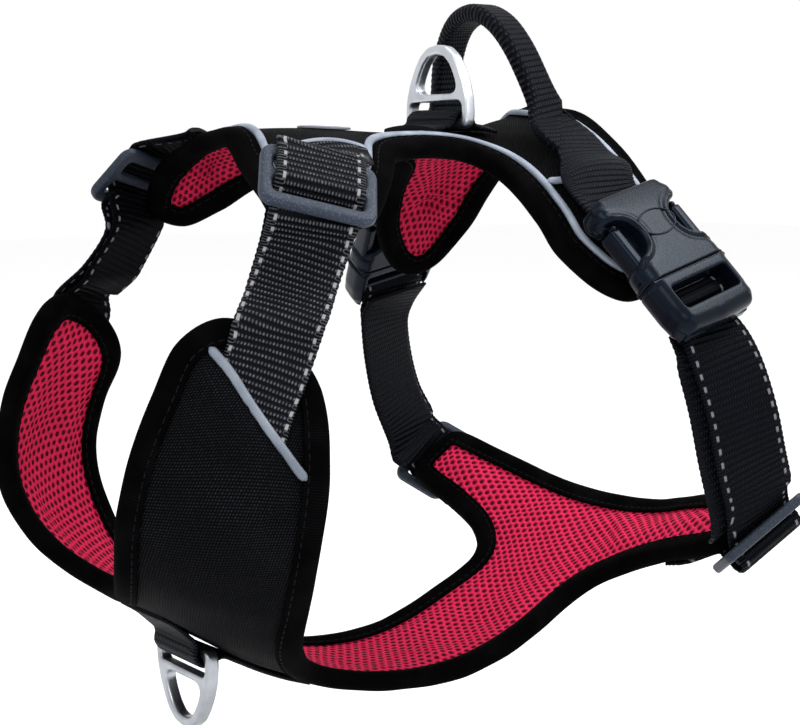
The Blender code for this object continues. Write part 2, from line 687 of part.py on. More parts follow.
def plate(name, frame, outer, holes, half, chamfer, finish):
    """A flat piece with holes and chamfered rims; outlines run counter-clockwise."""
    loops = [np.asarray(outer, float)] + [np.asarray(hole, float)[::-1] for hole in holes]
    faces2 = [inset(loop, chamfer) for loop in loops]
    flat = np.vstack(faces2)
    sizes = [len(loop) for loop in loops]
    starts = np.r_[0, np.cumsum(sizes)]
    edges = []
    for start, size in zip(starts, sizes):
        edges += [(int(start + i), int(start + (i + 1) % size)) for i in range(size)]
    made = delaunay_2d_cdt([tuple(p) for p in flat], edges, [], 1, 1e-6)
    where = [int(np.linalg.norm(flat - np.array(tuple(p)), axis=1).argmin()) for p in made[0]]
    triangles = []
    for face in made[2]:
        a, b, c = (where[k] for k in face)
        middle = flat[[a, b, c]].mean(axis=0)[None]
        if any(Panel._inside(middle, flat[starts[k]:starts[k + 1]])[0]
               for k in range(1, len(loops))):
            continue
        area = np.cross(flat[b] - flat[a], flat[c] - flat[a])
        triangles.append((a, b, c) if area > 0 else (a, c, b))
    total = len(flat)
    rims = np.vstack(loops)
    levels = ((flat, half), (rims, half - chamfer), (rims, chamfer - half), (flat, -half))
    points = np.vstack([frame.at(flat2[:, 0], flat2[:, 1], np.full(total, level))
                        for flat2, level in levels])
    solid = [tuple(t) for t in triangles]
    solid += [tuple(3 * total + k for k in reversed(t)) for t in triangles]
    for a, b in edges:
        for k in range(3):
            near, far = k * total, (k + 1) * total
            solid += [(near + a, far + b, near + b), (near + a, far + a, far + b)]
    made = add_object(name, points, solid, finish)
    face_outwards(made)
    return made


def move_origin(made, point):
    """Puts a swinging piece's origin on its hinge axis."""
    place = Vector(np.asarray(point, float) * MM)
    made.data.transform(Matrix.Translation(-place))
    made.location = place


def box(name, frame, across, along, out, finish=None):
    """A box between pairs of across, along and out positions in a frame."""
    corners = np.array([(a, b, c) for a in across for b in along for c in out], float)
    points = frame.at(corners[:, 0], corners[:, 1], corners[:, 2])
    faces = [(0, 1, 3, 2), (4, 6, 7, 5), (0, 4, 5, 1), (2, 3, 7, 6), (0, 2, 6, 4), (1, 5, 7, 3)]
    made = add_object(name, points, faces, finish or bpy.data.materials[0])
    face_outwards(made)
    return made


def combine(target, helper, operation):
    """Joins a helper to a piece, or cuts it away."""
    step = target.modifiers.new(helper.name, "BOOLEAN")
    step.operation = operation
    step.solver = "EXACT"
    step.object = helper
    helper.hide_render = True
    helper.display_type = "WIRE"


# ---------------------------------------------------------------- panels
def mirrored(rows):
    rows = np.array(rows, float)
    rows[:, [0, 2]] *= -1
    return rows


def build_back(finishes):
    left, right = np.array(BACK_LEFT_EDGE, float), np.array(BACK_RIGHT_EDGE, float)
    middle = np.array(BACK_MIDDLE, float)
    drape = Drape(np.vstack([left, right, middle]), outward=1)
    edge = np.vstack([middle[:1, :2], left[:, :2], middle[6:7, :2], right[::-1, :2]])
    depths = (LAYER_INSET, BINDING_WIDTH + 0.4, BINDING_WIDTH + 3.6)
    panel = Panel(drape, edge, depths)
    panel_layers("back", panel, depths, finishes)
    low, high = SHELL_HIGH + 1.5 * GAP, PIPING_HIGH
    start = BINDING_WIDTH + 0.45
    end = start + PIPING_WIDTH
    profile = ((start, low), (start, high - 0.7), (start + 0.7, high), (end - 0.7, high),
               (end, high - 0.7), (end, low))
    panel.swept("back_piping", profile, depths, finishes["piping"], crossed=(5,))
    return panel


def build_front(finishes):
    left = np.array(FRONT_EDGE, float)
    middle = np.array(FRONT_MIDDLE, float)
    inner = np.array(FRONT_INNER, float)
    rows = np.vstack([left, mirrored(left), middle, inner, mirrored(inner)])
    drape = Drape(rows, outward=-1)
    edge = np.vstack([middle[:1, :2], left[:, :2], middle[-1:, :2], mirrored(left)[::-1, :2]])
    depths = (LAYER_INSET, BINDING_WIDTH + 0.4)
    panel = Panel(drape, edge, depths)
    panel_layers("front", panel, depths, finishes)
    return panel


def panel_layers(name, panel, depths, finishes):
    def puffed(used):
        rise = np.clip((panel.depth[used] - BINDING_WIDTH) / 8, 0, 1)
        return LINING_LOW - LINING_PUFF * rise * rise * (3 - 2 * rise)

    panel.layer(f"{name}_shell", SHELL_LOW, SHELL_HIGH, finishes["oxford"])
    panel.layer(f"{name}_lining", puffed, LINING_HIGH, finishes["mesh"])
    out, wall, reach = PANEL_HALF + BINDING_WALL, PANEL_HALF, BINDING_WIDTH
    inset = LAYER_INSET - GAP
    profile = ((reach, out), (1.5, out), (0.0, 1.3), (0.0, -1.3), (1.5, -out), (reach, -out),
               (reach, -wall), (inset, -wall), (inset, wall), (reach, wall))
    panel.swept(f"{name}_binding", profile, depths, finishes["binding"], crossed=(0, 5, 6))


# ---------------------------------------------------------------- cords and straps
def cord(name, panel, line, size, finish):
    """A piping cord along a line of the flat cut, as far as it stays clear of the panel's edge."""
    drape, low, high = panel.drape, size["low"], size["high"]
    line = through(np.array(line, float))
    line = line[panel.depth_of(line) > size["clear"]]
    line = respaced(line, 4.5, 9.0, 0.2)
    points, normals = drape.at(line), drape.normals(line)
    along = unit(np.gradient(points, axis=0))
    across = unit(np.cross(normals, along))
    half, rise = size["width"] / 2, high - low
    section = ((-half, low), (half, low), (half, low + 0.55 * rise), (0.5 * half, high),
               (-0.5 * half, high), (-half, low + 0.55 * rise))
    columns = [points + across * side + normals * level for side, level in section]
    return sweep(name, columns, finish)


def on_cloth(drape, rows, side=1):
    """Webbing rows lying on a panel. Each row: cut_a, cut_b, height over the cloth, the webbing's
    run on the flat cut (along_a, along_b) and the line of its width there (across_a, across_b)."""
    rows = np.array(rows, float)
    cut, height = rows[:, 0:2] * (side, 1), rows[:, 2:3]
    along, across = rows[:, 3:5] * (side, 1), rows[:, 5:7] * (1, side)
    by_a, by_b = drape.slopes(cut)
    run = unit(by_a * along[:, :1] + by_b * along[:, 1:])
    width = by_a * across[:, :1] + by_b * across[:, 1:]
    clear = np.linalg.norm(np.cross(run, width), axis=1, keepdims=True)
    half = across * (WEBBING_WIDTH / 2) / clear
    spots = [cut - half, cut, cut + half]
    lines = [drape.at(spot) + drape.normals(spot) * height for spot in spots]
    return np.hstack(lines + [np.full((len(cut), 1), WEBBING_THICK)])


def shifted(rows, inward, forward):
    """A second layer of webbing beside the first."""
    rows = np.array(rows, float)
    along = unit(np.gradient(rows[:, 3:6], axis=0))
    across = unit(rows[:, 6:9] - rows[:, 0:3])
    move = unit(np.cross(along, across)) * inward + across * forward
    return np.hstack([rows[:, :9] - np.tile(move, 3), rows[:, 9:]])


def build_straps(back, front, finishes):
    webbing = finishes["webbing"]
    for name, side in (("left", 1), ("right", -1)):
        def placed(rows):
            return rows if side > 0 else mirror_rows(rows)

        slider = Frame(*NECK_SLIDER_AT)
        over = (slider if side > 0 else slider.mirrored(RIGHT_SLIDER_MOVE)).rows(OVER_NECK_SLIDER)
        free = table_rows(NECK_FREE)
        neck = np.vstack([on_cloth(back.drape, NECK_STRAP_START, side), over,
                          placed(free), on_cloth(front.drape, NECK_STRAP_END, side)])
        inner = shifted(table_rows(NECK_INNER), INNER_LAYER_GAP, 0.0)
        ribbon(f"{name}_neck_strap", eased(neck), webbing)
        ribbon(f"{name}_neck_strap_inner", eased(placed(inner)), webbing)
        free = table_rows(GIRTH_FREE)
        girth = np.vstack([placed(Frame(*BUCKLE_AT).rows(THROUGH_PLUG)), placed(free),
                           placed(Frame(*BELLY_SLIDER_AT).rows(ROUND_BELLY_SLIDER)),
                           on_cloth(front.drape, GIRTH_STRAP_END, side)])
        ribbon(f"{name}_girth_strap", eased(girth), webbing)
        free = np.vstack([Frame(*BUCKLE_AT).rows(GIRTH_INNER_START), free])
        inner = shifted(free, INNER_LAYER_GAP, GIRTH_INNER_AHEAD)
        ribbon(f"{name}_girth_strap_inner", eased(placed(inner)), webbing)


def build_sliders(finishes):
    plastic = finishes["slider"]
    size = SLIDER
    outer = rounded_box(size["length"], -size["height"] / 2, size["height"] / 2, size["corner"])
    low, high = size["bar"] / 2, size["height"] / 2 - size["rail"]
    window = size["length"] - 2 * size["rail"] + 0.8
    holes = [rounded_box(window, low, high, 0.8, 1), rounded_box(window, -high, -low, 0.8, 1)]
    for kind, place, move in (("neck", NECK_SLIDER_AT, RIGHT_SLIDER_MOVE),
                              ("belly", BELLY_SLIDER_AT, (0, 0, 0))):
        frame = Frame(*place)
        for side, at in (("left", frame), ("right", frame.mirrored(move))):
            plate(f"{side}_{kind}_slider", at, outer, holes, size["thick"] / 2, 0.5, plastic)


def build_buckles(finishes):
    plastic = finishes["buckle"]
    half, chamfer = BUCKLE_THICK / 2, BUCKLE_CHAMFER
    near, far, deep = PRONG
    frame = Frame(*BUCKLE_AT)
    for side, at in (("left", frame), ("right", frame.mirrored())):
        socket = plate(f"{side}_buckle_socket", at, whole(SOCKET_HALF), (), half, chamfer,
                       plastic)
        combine(socket, box(f"{side}_entry", at, (-12.9, 12.9), (-2, 8.5), (-4.2, -0.9)),
                "DIFFERENCE")
        plug = plate(f"{side}_buckle_plug", at, whole(PLUG_HALF), (), half, chamfer, plastic)
        combine(plug, box(f"{side}_window", at, (-12.9, 12.9), (34.6, 42.6), (-8, 8)), "DIFFERENCE")
        combine(plug, box(f"{side}_under_bar", at, (-13.8, 13.8), (41.1, 54), (-8, -2.9)),
                "DIFFERENCE")
        combine(plug, box(f"{side}_ladder", at, (-13.6, 13.6), (38.0, 39.6), (-5.1, -1.7)),
                "UNION")
        for hand, low, high in (("a", near, far), ("b", -far, -near)):
            tunnel = box(f"{side}_tunnel_{hand}", at, (low - TUNNEL_GAP, high + TUNNEL_GAP),
                         (9.1, 36.0), (-deep - TUNNEL_GAP, deep + TUNNEL_GAP))
            combine(socket, tunnel, "DIFFERENCE")
            prong = box(f"{side}_prong_{hand}", at, (low, high), (11.4, 33.2), (-deep, deep))
            combine(plug, prong, "UNION")


def build_rings(front, finishes):
    metal, half, chamfer = finishes["ring"], RING["thick"] / 2, RING["chamfer"]
    slot = rounded_box(RING["slot"], RING["slot_low"], RING["slot_high"], 1.0, 1)
    holes = (slot, whole(RING_HOLE_HALF))
    back_at = Frame(BACK_RING_AT, (1, 0, 0), (0, 0, 1))
    ring = plate("back_ring", back_at, whole(RING_HALF), holes, half, chamfer, metal)
    move_origin(ring, BACK_RING_AT)
    loop_cut = np.array([[0.0, CHEST_LOOP_AT]])
    normal = front.drape.normals(loop_cut)[0]
    bar = front.drape.at(loop_cut)[0] + normal * LOOP_CLEAR
    chest_at = Frame(bar, (-1, 0, 0), (0, 0, -1))
    ring = plate("chest_ring", chest_at, whole(RING_HALF), holes, half, chamfer, metal)
    move_origin(ring, bar)
    return bar


def loop_over(bar, along, out, rise):
    """Middle points of webbing that goes over a ring's bar, from one flat end to the other."""
    path = ((-7.6, rise), (-5.6, rise + 0.5), (-4.1, 0.2), (-2.9, 2.7), (0, 3.9),
            (2.9, 2.7), (4.1, 0.2), (5.6, rise + 0.5), (7.6, rise))
    path = np.array(path, float)
    return bar + np.multiply.outer(path[:, 0], along) + np.multiply.outer(path[:, 1], out)


def build_badge(back, finishes):
    """A plain oval patch on the middle of the back, between the neck and the ring."""
    angles = np.linspace(0, 2 * math.pi, 24, endpoint=False)
    round_cut = np.column_stack([np.cos(angles), np.sin(angles)])
    rings = [round_cut * (BADGE["width"] / 2, BADGE["length"] / 2) * share
             for share in (1.0, 0.55)]
    cut = np.vstack(rings + [np.zeros((1, 2))]) + (0, BADGE["middle"])
    faces = []
    for i in range(24):
        j = (i + 1) % 24
        faces += [(i, j, 24 + j), (i, 24 + j, 24 + i), (24 + i, 24 + j, 48)]
    points, normals = back.drape.at(cut), back.drape.normals(cut)
    low = points + normals * (SHELL_HIGH + GAP)
    high = points + normals * (SHELL_HIGH + GAP + BADGE["thick"])
    solid = [tuple(k + 49 for k in face) for face in faces] + [face[::-1] for face in faces]
    for i in range(24):
        j = (i + 1) % 24
        solid += [(i, j, j + 49), (i, j + 49, i + 49)]
    made = add_object("back_badge", np.vstack([low, high]), solid, finishes["badge"])
    face_outwards(made)


def build_loops(back, front, bar, finishes):
    """Webbing that holds the two leash rings: a short piece on the back, a long tape below."""
    webbing = finishes["webbing"]
    rearwards, up = np.array([0.0, 1.0, 0.0]), np.array([0.0, 0.0, 1.0])
    bump = webbing_rows(loop_over(np.array(BACK_RING_AT), rearwards, up, BACK_LOOP_REST),
                        (1, 0, 0))
    ends = on_cloth(back.drape, [(0, -BACK_LOOP_REACH, 3.1, 0, 1, 1, 0),
                                 (0, BACK_LOOP_REACH, 3.1, 0, 1, 1, 0)])
    rows = np.vstack([ends[:1], bump, ends[1:]])
    ribbon("back_ring_loop", eased(rows, 1.9, 15, 0.15), webbing)
    place = np.array([[0.0, CHEST_LOOP_AT]])
    out = front.drape.normals(place)[0]
    along = unit(front.drape.slopes(place)[1][0])
    bump = webbing_rows(loop_over(bar, along, out, CHEST_LOOP_REST), (-1, 0, 0))
    steps = np.arange(CHEST_LOOP_AT + 14, CHEST_TAPE_END + 1, 8.0)
    tape = on_cloth(front.drape, [(0, b, TAPE_HIGH, 0, 1, -1, 0) for b in steps])
    ribbon("chest_tape", eased(np.vstack([bump, tape]), 1.9, 15, 0.15), webbing)


def build_handle(back, finishes):
    """The grab handle: flat webbing from each buckle, folded into a grip over the back."""
    entry = Frame(*BUCKLE_AT).rows(((5.0, -2.55), (-3.0, -2.7)))
    left = np.vstack([entry, on_cloth(back.drape, HANDLE_FLAT)])
    right = np.vstack([mirror_rows(entry), on_cloth(back.drape, HANDLE_FLAT, -1)])
    right = right[::-1, [6, 7, 8, 3, 4, 5, 0, 1, 2, 9]]
    rows = np.vstack([left, table_rows(HANDLE), right])
    ribbon("handle", eased(rows, 3.0, 14.0, 0.35), finishes["webbing"])


def main():
    clear_scene()
    finishes = {
        "oxford": material("oxford", (0.012, 0.012, 0.014), 0.75),
        "mesh": material("air_mesh", (0.62, 0.02, 0.07), 0.8),
        "binding": material("binding", (0.006, 0.006, 0.007), 0.85),
        "piping": material("piping", (0.36, 0.40, 0.46), 0.45),
        "webbing": material("webbing", (0.018, 0.019, 0.024), 0.6),
        "slider": material("slider_plastic", (0.07, 0.085, 0.11), 0.45),
        "buckle": material("buckle_plastic", (0.02, 0.025, 0.035), 0.35),
        "badge": material("badge_plastic", (0.36, 0.38, 0.42), 0.5),
        "ring": material("aluminium", (0.72, 0.74, 0.77), 0.3, 1.0),
    }
    back = build_back(finishes)
    front = build_front(finishes)
    build_straps(back, front, finishes)
    build_sliders(finishes)
    build_buckles(finishes)
    bar = build_rings(front, finishes)
    build_loops(back, front, bar, finishes)
    build_handle(back, finishes)
    build_badge(back, finishes)
    for side, sign in (("left", 1), ("right", -1)):
        for kind, line in (("front", FRONT_SLIT), ("rear", REAR_SLIT)):
            cord(f"{side}_{kind}_slit_piping", back, np.array(line) * (sign, 1), SLIT_PIPING,
                 finishes["piping"])
        cord(f"{side}_pocket_piping", front, np.array(POCKET_EDGE) * (sign, 1),
             POCKET_PIPING, finishes["piping"])


main()
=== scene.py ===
"""A dog's vest harness in its worn shape, without the dog: the fine cloth, webbing, stitching,
hardware, materials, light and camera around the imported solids.

Axes: +Z is up, the dog walks towards -Y and its left side is +X. Tables of the harness are in
millimetres, those of the lights and the camera in metres.
"""
import math

import bpy
import numpy as np
from mathutils import Matrix, Vector
from mathutils.geometry import delaunay_2d_cdt


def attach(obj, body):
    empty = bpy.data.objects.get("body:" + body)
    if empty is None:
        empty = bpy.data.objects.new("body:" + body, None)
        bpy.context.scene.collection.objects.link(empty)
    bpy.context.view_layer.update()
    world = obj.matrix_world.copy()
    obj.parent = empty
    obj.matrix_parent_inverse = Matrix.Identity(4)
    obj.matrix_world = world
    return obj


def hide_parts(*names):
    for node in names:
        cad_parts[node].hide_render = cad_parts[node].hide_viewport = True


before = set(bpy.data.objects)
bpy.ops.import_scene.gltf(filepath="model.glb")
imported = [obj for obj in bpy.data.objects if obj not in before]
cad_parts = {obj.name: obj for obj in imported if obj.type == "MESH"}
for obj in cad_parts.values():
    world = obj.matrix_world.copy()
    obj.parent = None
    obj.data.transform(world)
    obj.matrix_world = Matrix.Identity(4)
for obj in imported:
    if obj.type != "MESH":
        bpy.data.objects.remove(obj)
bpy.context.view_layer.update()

MM = 0.001
SIDES = (("left", 1), ("right", -1))

# ---------------------------------------------------------------- driving dimensions, mm
GAP = 0.3                 # clearance between pieces that touch on the real harness
WEBBING_WIDTH = 25.0      # 1 inch webbing
WEBBING_THICK = 1.6
BINDING_WIDTH = 7.6       # how far the edge tape reaches over the panel
BINDING_WALL = 0.9
PANEL_HALF = 1.9          # half of the padded layers' thickness inside the edge tape
SHELL_LOW, SHELL_HIGH = 0.4, 1.6
LINING_HIGH, LINING_LOW, LINING_PUFF = 0.1, -1.6, 1.5
LAYER_INSET = 1.3         # where shell and lining end inside the edge tape
LAYER_LEAST = 0.8         # least thickness of the lining
CREASE_SHARE = 0.6        # how deep the outer cloth's creases are against their table
PIPING_WIDTH = 2.3
PIPING_HIGH = 3.3

SLIDER = dict(length=33.0, height=21.0, thick=3.2, rail=4.0, bar=3.0, corner=4.0)
RING = dict(thick=4.0, slot=26.4, slot_low=1.6, slot_high=7.0)
BADGE = dict(length=18.0, width=12.0, middle=-44.0, clear=0.25, points=48)
BUCKLE_THICK = 11.0
PRONG = (11.9, 15.4, 3.5)         # near side, far side and half thickness of a plug's prong
SLIT_PIPING = dict(clear=12.4, low=1.95, high=4.0, width=2.2)
POCKET_PIPING = dict(clear=9.2, low=1.95, high=4.4, width=2.4)
CORD_STEP, CORD_TIP = 0.8, 1.2    # spacing of a cord's points, and length of its rounded ends
CORD_UNDER = 2.6          # how far it goes on past its clear place, up to the edge tape
GIRTH_INNER_GAP = 2.8     # second layer of a strap, from middle to middle
GIRTH_INNER_AHEAD = 4.0   # how far forward of the outer layer it lies
GIRTH_INNER_EASE = 2.5    # rows from the buckle over which it gets there
NECK_INNER_GAP = 2.3
LOOP_CLEAR = 4.35         # height of the chest ring's bar over the panel's middle surface
TAPE_HIGH = 2.75          # middle of webbing sewn flat on a panel, over its middle surface
TAPE_END_HIGH = 2.05      # the same at the tape's front end, under the chest ring

# ---------------------------------------------------------------- the worn shape, mm
# cut_a, cut_b: place on the flat cut (a to the dog's left, b to its rear)
# x, y, z: place on the worn harness, at mid-thickness
BACK_LEFT_EDGE = (
    # cut_a cut_b    x      y      z
    (12, -80,       10.0, -81.0, -11.0),
    (32, -86,       28.0, -86.0, -18.0),
    (50, -89,       43.0, -88.5, -25.0),
    (63, -78,       50.0, -79.0, -28.5),
    (61, -62,       50.5, -62.5, -27.5),
    (46, -49,       40.0, -49.0, -19.0),
    (30, -36,       27.5, -36.5, -10.0),
    (26, -20,       23.4, -21.0,  -8.0),
    (27, -7,        23.4,  -6.0,  -9.4),
    (33, 3,         28.0,   2.0, -15.0),
    (50, 6,         40.0,   6.0, -27.5),
    (64, 9,         47.5,   8.5, -38.0),
    (77, 18,        55.5,  17.5, -48.5),
    (83, 30,        61.0,  28.0, -52.0),
    (78, 43,        60.0,  43.0, -45.0),
    (60, 52,        47.5,  52.5, -29.0),
    (46, 53,        38.5,  53.0, -19.5),
    (30, 53,        25.5,  53.0,  -7.5),
    (12, 50,        10.0,  50.0,   3.5),
)
BACK_RIGHT_EDGE = (
    (-14, -79,     -12.0, -77.5,  -4.5),
    (-32, -84,     -26.0, -77.5,  -7.0),
    (-50, -88,     -43.0, -78.5, -13.5),
    (-63, -78,     -51.5, -77.0, -25.5),
    (-61, -62,     -49.0, -66.0, -30.5),
    (-46, -49,     -39.0, -56.5, -25.0),
    (-30, -36,     -27.0, -43.0, -14.0),
    (-26, -20,     -23.4, -22.0,  -8.0),
    (-27, -7,      -23.4,  -6.0,  -9.4),
    (-33, 3,       -29.0,   2.0, -14.0),
    (-50, 6,       -43.0,   8.0, -24.0),
    (-64, 9,       -50.5,  12.0, -36.0),
    (-77, 18,      -55.5,  20.5, -47.0),
    (-83, 30,      -57.5,  31.0, -50.5),
    (-78, 43,      -54.0,  40.5, -46.0),
    (-60, 52,      -45.0,  47.0, -34.0),
    (-46, 53,      -34.5,  48.0, -22.0),
    (-30, 53,      -25.0,  51.0,  -8.5),
    (-12, 50,      -10.0,  48.0,   5.0),
)
BACK_MIDDLE = (
    (0, -78,         0.0, -79.0,  -4.5),
    (0, -66,         0.0, -66.0,  -2.5),
    (0, -45,         0.0, -45.0,  -2.6),
    (0, -20,         0.0, -20.0,  -3.0),
    (0, 5,           0.0,   5.0,  -3.0),
    (0, 28,          0.0,  28.0,   0.5),
    (0, 46,          0.0,  45.0,   5.0),
    (34, -64,       33.5, -64.0, -10.0),
    (-34, -64,     -33.5, -64.0,  -9.0),
    (54, 28,        46.5,  29.0, -22.0),
    (-54, 28,      -46.5,  29.0, -22.0),
)
# left half of the chest-and-belly panel, mirrored for the right half
FRONT_EDGE = (
    (10, -2,        10.0, -121.5, -128.5),
    (27, -14,       27.0, -130.0, -118.0),
    (40, -31,       37.0, -134.0, -101.0),
    (48, -42,       40.0, -132.0, -87.0),
    (59, -56,       41.5, -126.5, -72.0),
    (68, -68,       42.5, -119.0, -57.5),
    (77, -69,       48.0, -109.5, -51.0),
    (86, -58,       53.5,  -99.0, -53.5),
    (93, -44,       56.0,  -90.0, -60.5),
    (95, -31,       59.0,  -84.5, -71.0),
    (91, -14,       66.0,  -86.5, -84.5),
    (86, -1,        69.0,  -89.0, -98.0),
    (76, 12,        66.0,  -89.5, -112.0),
    (62, 28,        56.0,  -86.5, -130.5),
    (43, 47,        41.0,  -79.0, -148.2),
    (31, 66,        30.0,  -65.0, -159.7),
    (28, 92,        27.0,  -38.0, -167.2),
    (28, 120,       27.5,   -9.0, -167.7),
    (28, 150,       28.0,   19.0, -158.7),
    (30, 169,       28.0,   36.5, -149.7),
    (40, 179,       37.5,   44.0, -142.7),
    (58, 186,       54.5,   45.5, -135.7),
    (80, 189,       77.0,   47.5, -128.5),
    (85, 201,       80.5,   58.0, -121.0),
    (80, 213,       77.0,   68.0, -114.5),
    (56, 216,       53.0,   71.0, -119.0),
    (29, 217,       29.0,   75.5, -125.0),
)
FRONT_MIDDLE = (
    (0, 0,           0.0, -119.0, -130.5),
    (0, 15,          0.0, -107.5, -138.0),
    (0, 42,          0.0,  -86.0, -152.0),
    (0, 69,          0.0,  -61.5, -164.0),
    (0, 92,          0.0,  -38.5, -170.0),
    (0, 120,         0.0,   -9.5, -171.0),
    (0, 150,         0.0,   19.0, -163.0),
    (0, 175,         0.0,   41.0, -152.0),
    (0, 195,         0.0,   57.5, -141.0),
    (0, 218,         0.0,   76.0, -127.0),
)
FRONT_INNER = (
    (48, 2,         48.5, -113.0, -121.5),
    (67, -22,       58.5, -112.5, -90.5),
    (79, -46,       54.0, -103.5, -66.0),
)
# seams on the flat cut: the slanted pocket edge on a neck arm, and the lines where webbing comes
# out of the back panel's front and rear arms
POCKET_EDGE = ((73.5, -62), (75.0, -52), (76.0, -40), (78.0, -26), (80.5, -14), (82.0, -9))
FRONT_SLIT = ((20.5, -80), (22.0, -74), (24.5, -66), (28.5, -58), (33.0, -49))
REAR_SLIT = ((40.0, 12), (43.5, 19), (45.5, 27), (47.0, 34), (48.0, 42))

# where hard pieces sit on the left side: middle, direction across the webbing, direction along it
NECK_SLIDER_AT = ((51.4, -80.1, -16.7), (0.31, 0.93, -0.19), (0.57, -0.40, -0.70))
RIGHT_SLIDER_MOVE = (-1.5, 2.0, -0.9)   # the right one has slipped further back
BELLY_SLIDER_AT = ((81.5, 62.3, -124.6), (0.176, 0.823, 0.544), (-0.779, 0.455, -0.436))
BUCKLE_AT = ((54.3, 26.8, -21.1), (-0.10, 0.93, 0.24), (0.625, 0.25, -0.74))
BACK_RING_AT = (0.0, 0.0, 1.1)
CHEST_LOOP_AT = 35.5      # place of the chest ring's bar on the flat cut
BACK_LOOP_REACH = 13.0    # where the back ring's loop ends, before and behind the ring
BACK_LOOP_END_HIGH = 3.1
BACK_LOOP_REST = -1.2     # height of the flat parts of a loop against the ring's bar
CHEST_LOOP_REST = -1.6
CHEST_TAPE_FRONT = (20.0, 14.0)   # rows of the tape before the bar
CHEST_TAPE_END, CHEST_TAPE_STEP = 75.0, 8.0

# webbing lying on a panel: place on the flat cut, height over the cloth, run, line of the width
NECK_STRAP_START = (
    (30.8, -65.5, 4.5,   1.0, -0.2,  0.36, 0.93),
    (37.0, -67.0, 4.5,   1.0, -0.2,  0.30, 0.95),
)
GIRTH_STRAP_END = (
    (66.0, 200.5, 4.1,  -1.0, 0.0,   0.0, 1.0),
    (56.0, 200.5, 4.1,  -1.0, 0.0,   0.0, 1.0),
)
HANDLE_FLAT = (
    (45.5, 27.0, 6.3,   -1.0, 0.0,   0.0, 1.0),
    (38.5, 26.8, 4.7,   -1.0, 0.0,   0.0, 1.0),
)
# webbing in the open: x, y, z of its middle and the direction across it
NECK_FREE = (
    (50.9, -83.5, -32.0,   0.41, 0.90, -0.02),
    (53.3, -89.3, -42.5,   0.35, 0.93,  0.00),
)
NECK_INNER = (
    (50.6, -83.1, -30.5,   0.41, 0.90, -0.02),
    (53.3, -89.3, -42.5,   0.35, 0.93,  0.00),
    (54.3, -91.4, -46.0,   0.35, 0.93,  0.00),
)
GIRTH_FREE = (
    (84.4,  39.4, -63.6,   0.08, 0.96,  0.14),
    (87.5,  41.0, -71.0,   0.21, 0.97,  0.02),
    (89.8,  44.5, -84.0,   0.22, 0.97,  0.02),
    (90.0,  48.5, -98.0,   0.20, 0.95,  0.15),
    (88.5,  54.0, -110.5,  0.18, 0.90,  0.35),
)
# the grab handle from the fold on the left arm over to the right: middle, across, width, thickness
HANDLE = (
    #  x     y      z     wx    wy   wz    width thick
    (28.5, 27.0,  -2.0,  0.05, 1.0, 0.0,   24.0,  1.8),
    (24.5, 26.0,   3.0,  0.05, 1.0, 0.0,   18.0,  3.2),
    (20.5, 24.5,  10.0,  0.05, 1.0, 0.0,   11.5,  5.4),
    (12.5, 22.0,  25.0,  0.05, 1.0, 0.0,   10.5,  5.8),
    (3.0,  21.5,  34.0,  0.05, 1.0, 0.0,   10.5,  5.8),
    (-9.0, 22.5,  37.5,  0.05, 1.0, 0.0,   10.5,  5.8),
    (-23.0, 25.5, 34.0,  0.05, 1.0, 0.0,   10.5,  5.8),
    (-33.0, 28.5, 23.0,  0.05, 1.0, 0.0,   10.5,  5.8),
    (-36.0, 30.0, 10.0,  0.05, 1.0, 0.0,   11.5,  5.4),
    (-35.5, 30.0,  1.0,  0.0,  1.0, 0.0,   18.0,  3.2),
    (-35.5, 29.0, -6.0,  0.0,  1.0, 0.0,   24.0,  1.8),
)

# paths of webbing through hardware, in the piece's own frame: along, out
OVER_NECK_SLIDER = ((-12.5, 1.6), (-9.0, 2.75), (0.0, 2.75), (2.1, 2.7), (3.5, 1.4), (4.1, 0.0),
                    (4.7, -1.4), (6.1, -2.9), (9.8, -3.5))
ROUND_BELLY_SLIDER = ((-12.0, -5.6), (-7.4, -3.3), (-5.0, -1.5), (-4.1, 0.3), (-3.9, 2.4),
                      (-2.8, 4.6), (0.0, 5.6), (2.8, 4.6), (3.9, 2.4), (4.1, 0.3), (4.6, -1.5),
                      (6.2, -3.6))
THROUGH_PLUG = ((34.8, -1.5), (36.0, -0.9), (37.6, -0.5), (38.8, -0.2), (40.1, -0.5),
                (41.0, -1.7), (41.6, -3.4), (42.8, -4.35), (47.0, -4.4))
HANDLE_FROM_SOCKET = ((5.0, -2.55), (-3.0, -2.7))
NECK_INNER_START = ((3.0, -3.4), (7.0, -3.9))
GIRTH_INNER_START = ((44.0, -5.0),)
GIRTH_INNER_END = ((-12.0, -5.6), (-6.0, -4.6))

# outlines of hard pieces: half the shape, across and along
RING_HALF = ((0.0, -1.5), (11.0, -1.5), (14.4, -1.1), (15.7, 0.6), (15.9, 3.5), (15.5, 8.0),
             (13.9, 13.0), (11.5, 17.6), (8.6, 21.6), (4.8, 24.2), (0.0, 25.0))
RING_HOLE_HALF = ((0.0, 9.5), (7.4, 9.5), (9.8, 10.4), (10.2, 12.2), (8.9, 15.2), (6.6, 18.8),
                  (3.6, 21.3), (0.0, 22.0))
SOCKET_HALF = ((0.0, 0.0), (12.6, 0.0), (15.2, 1.4), (16.9, 3.8), (17.2, 6.0), (15.8, 8.2),
               (13.0, 10.3), (11.5, 13.0), (11.2, 16.4), (11.8, 19.6), (13.6, 22.4),
               (16.4, 24.6), (17.2, 26.2), (17.2, 30.6), (0.0, 30.6))
PLUG_HALF = ((0.0, 31.4), (17.2, 31.4), (17.2, 41.0), (16.4, 46.2), (14.0, 49.2), (0.0, 50.0))

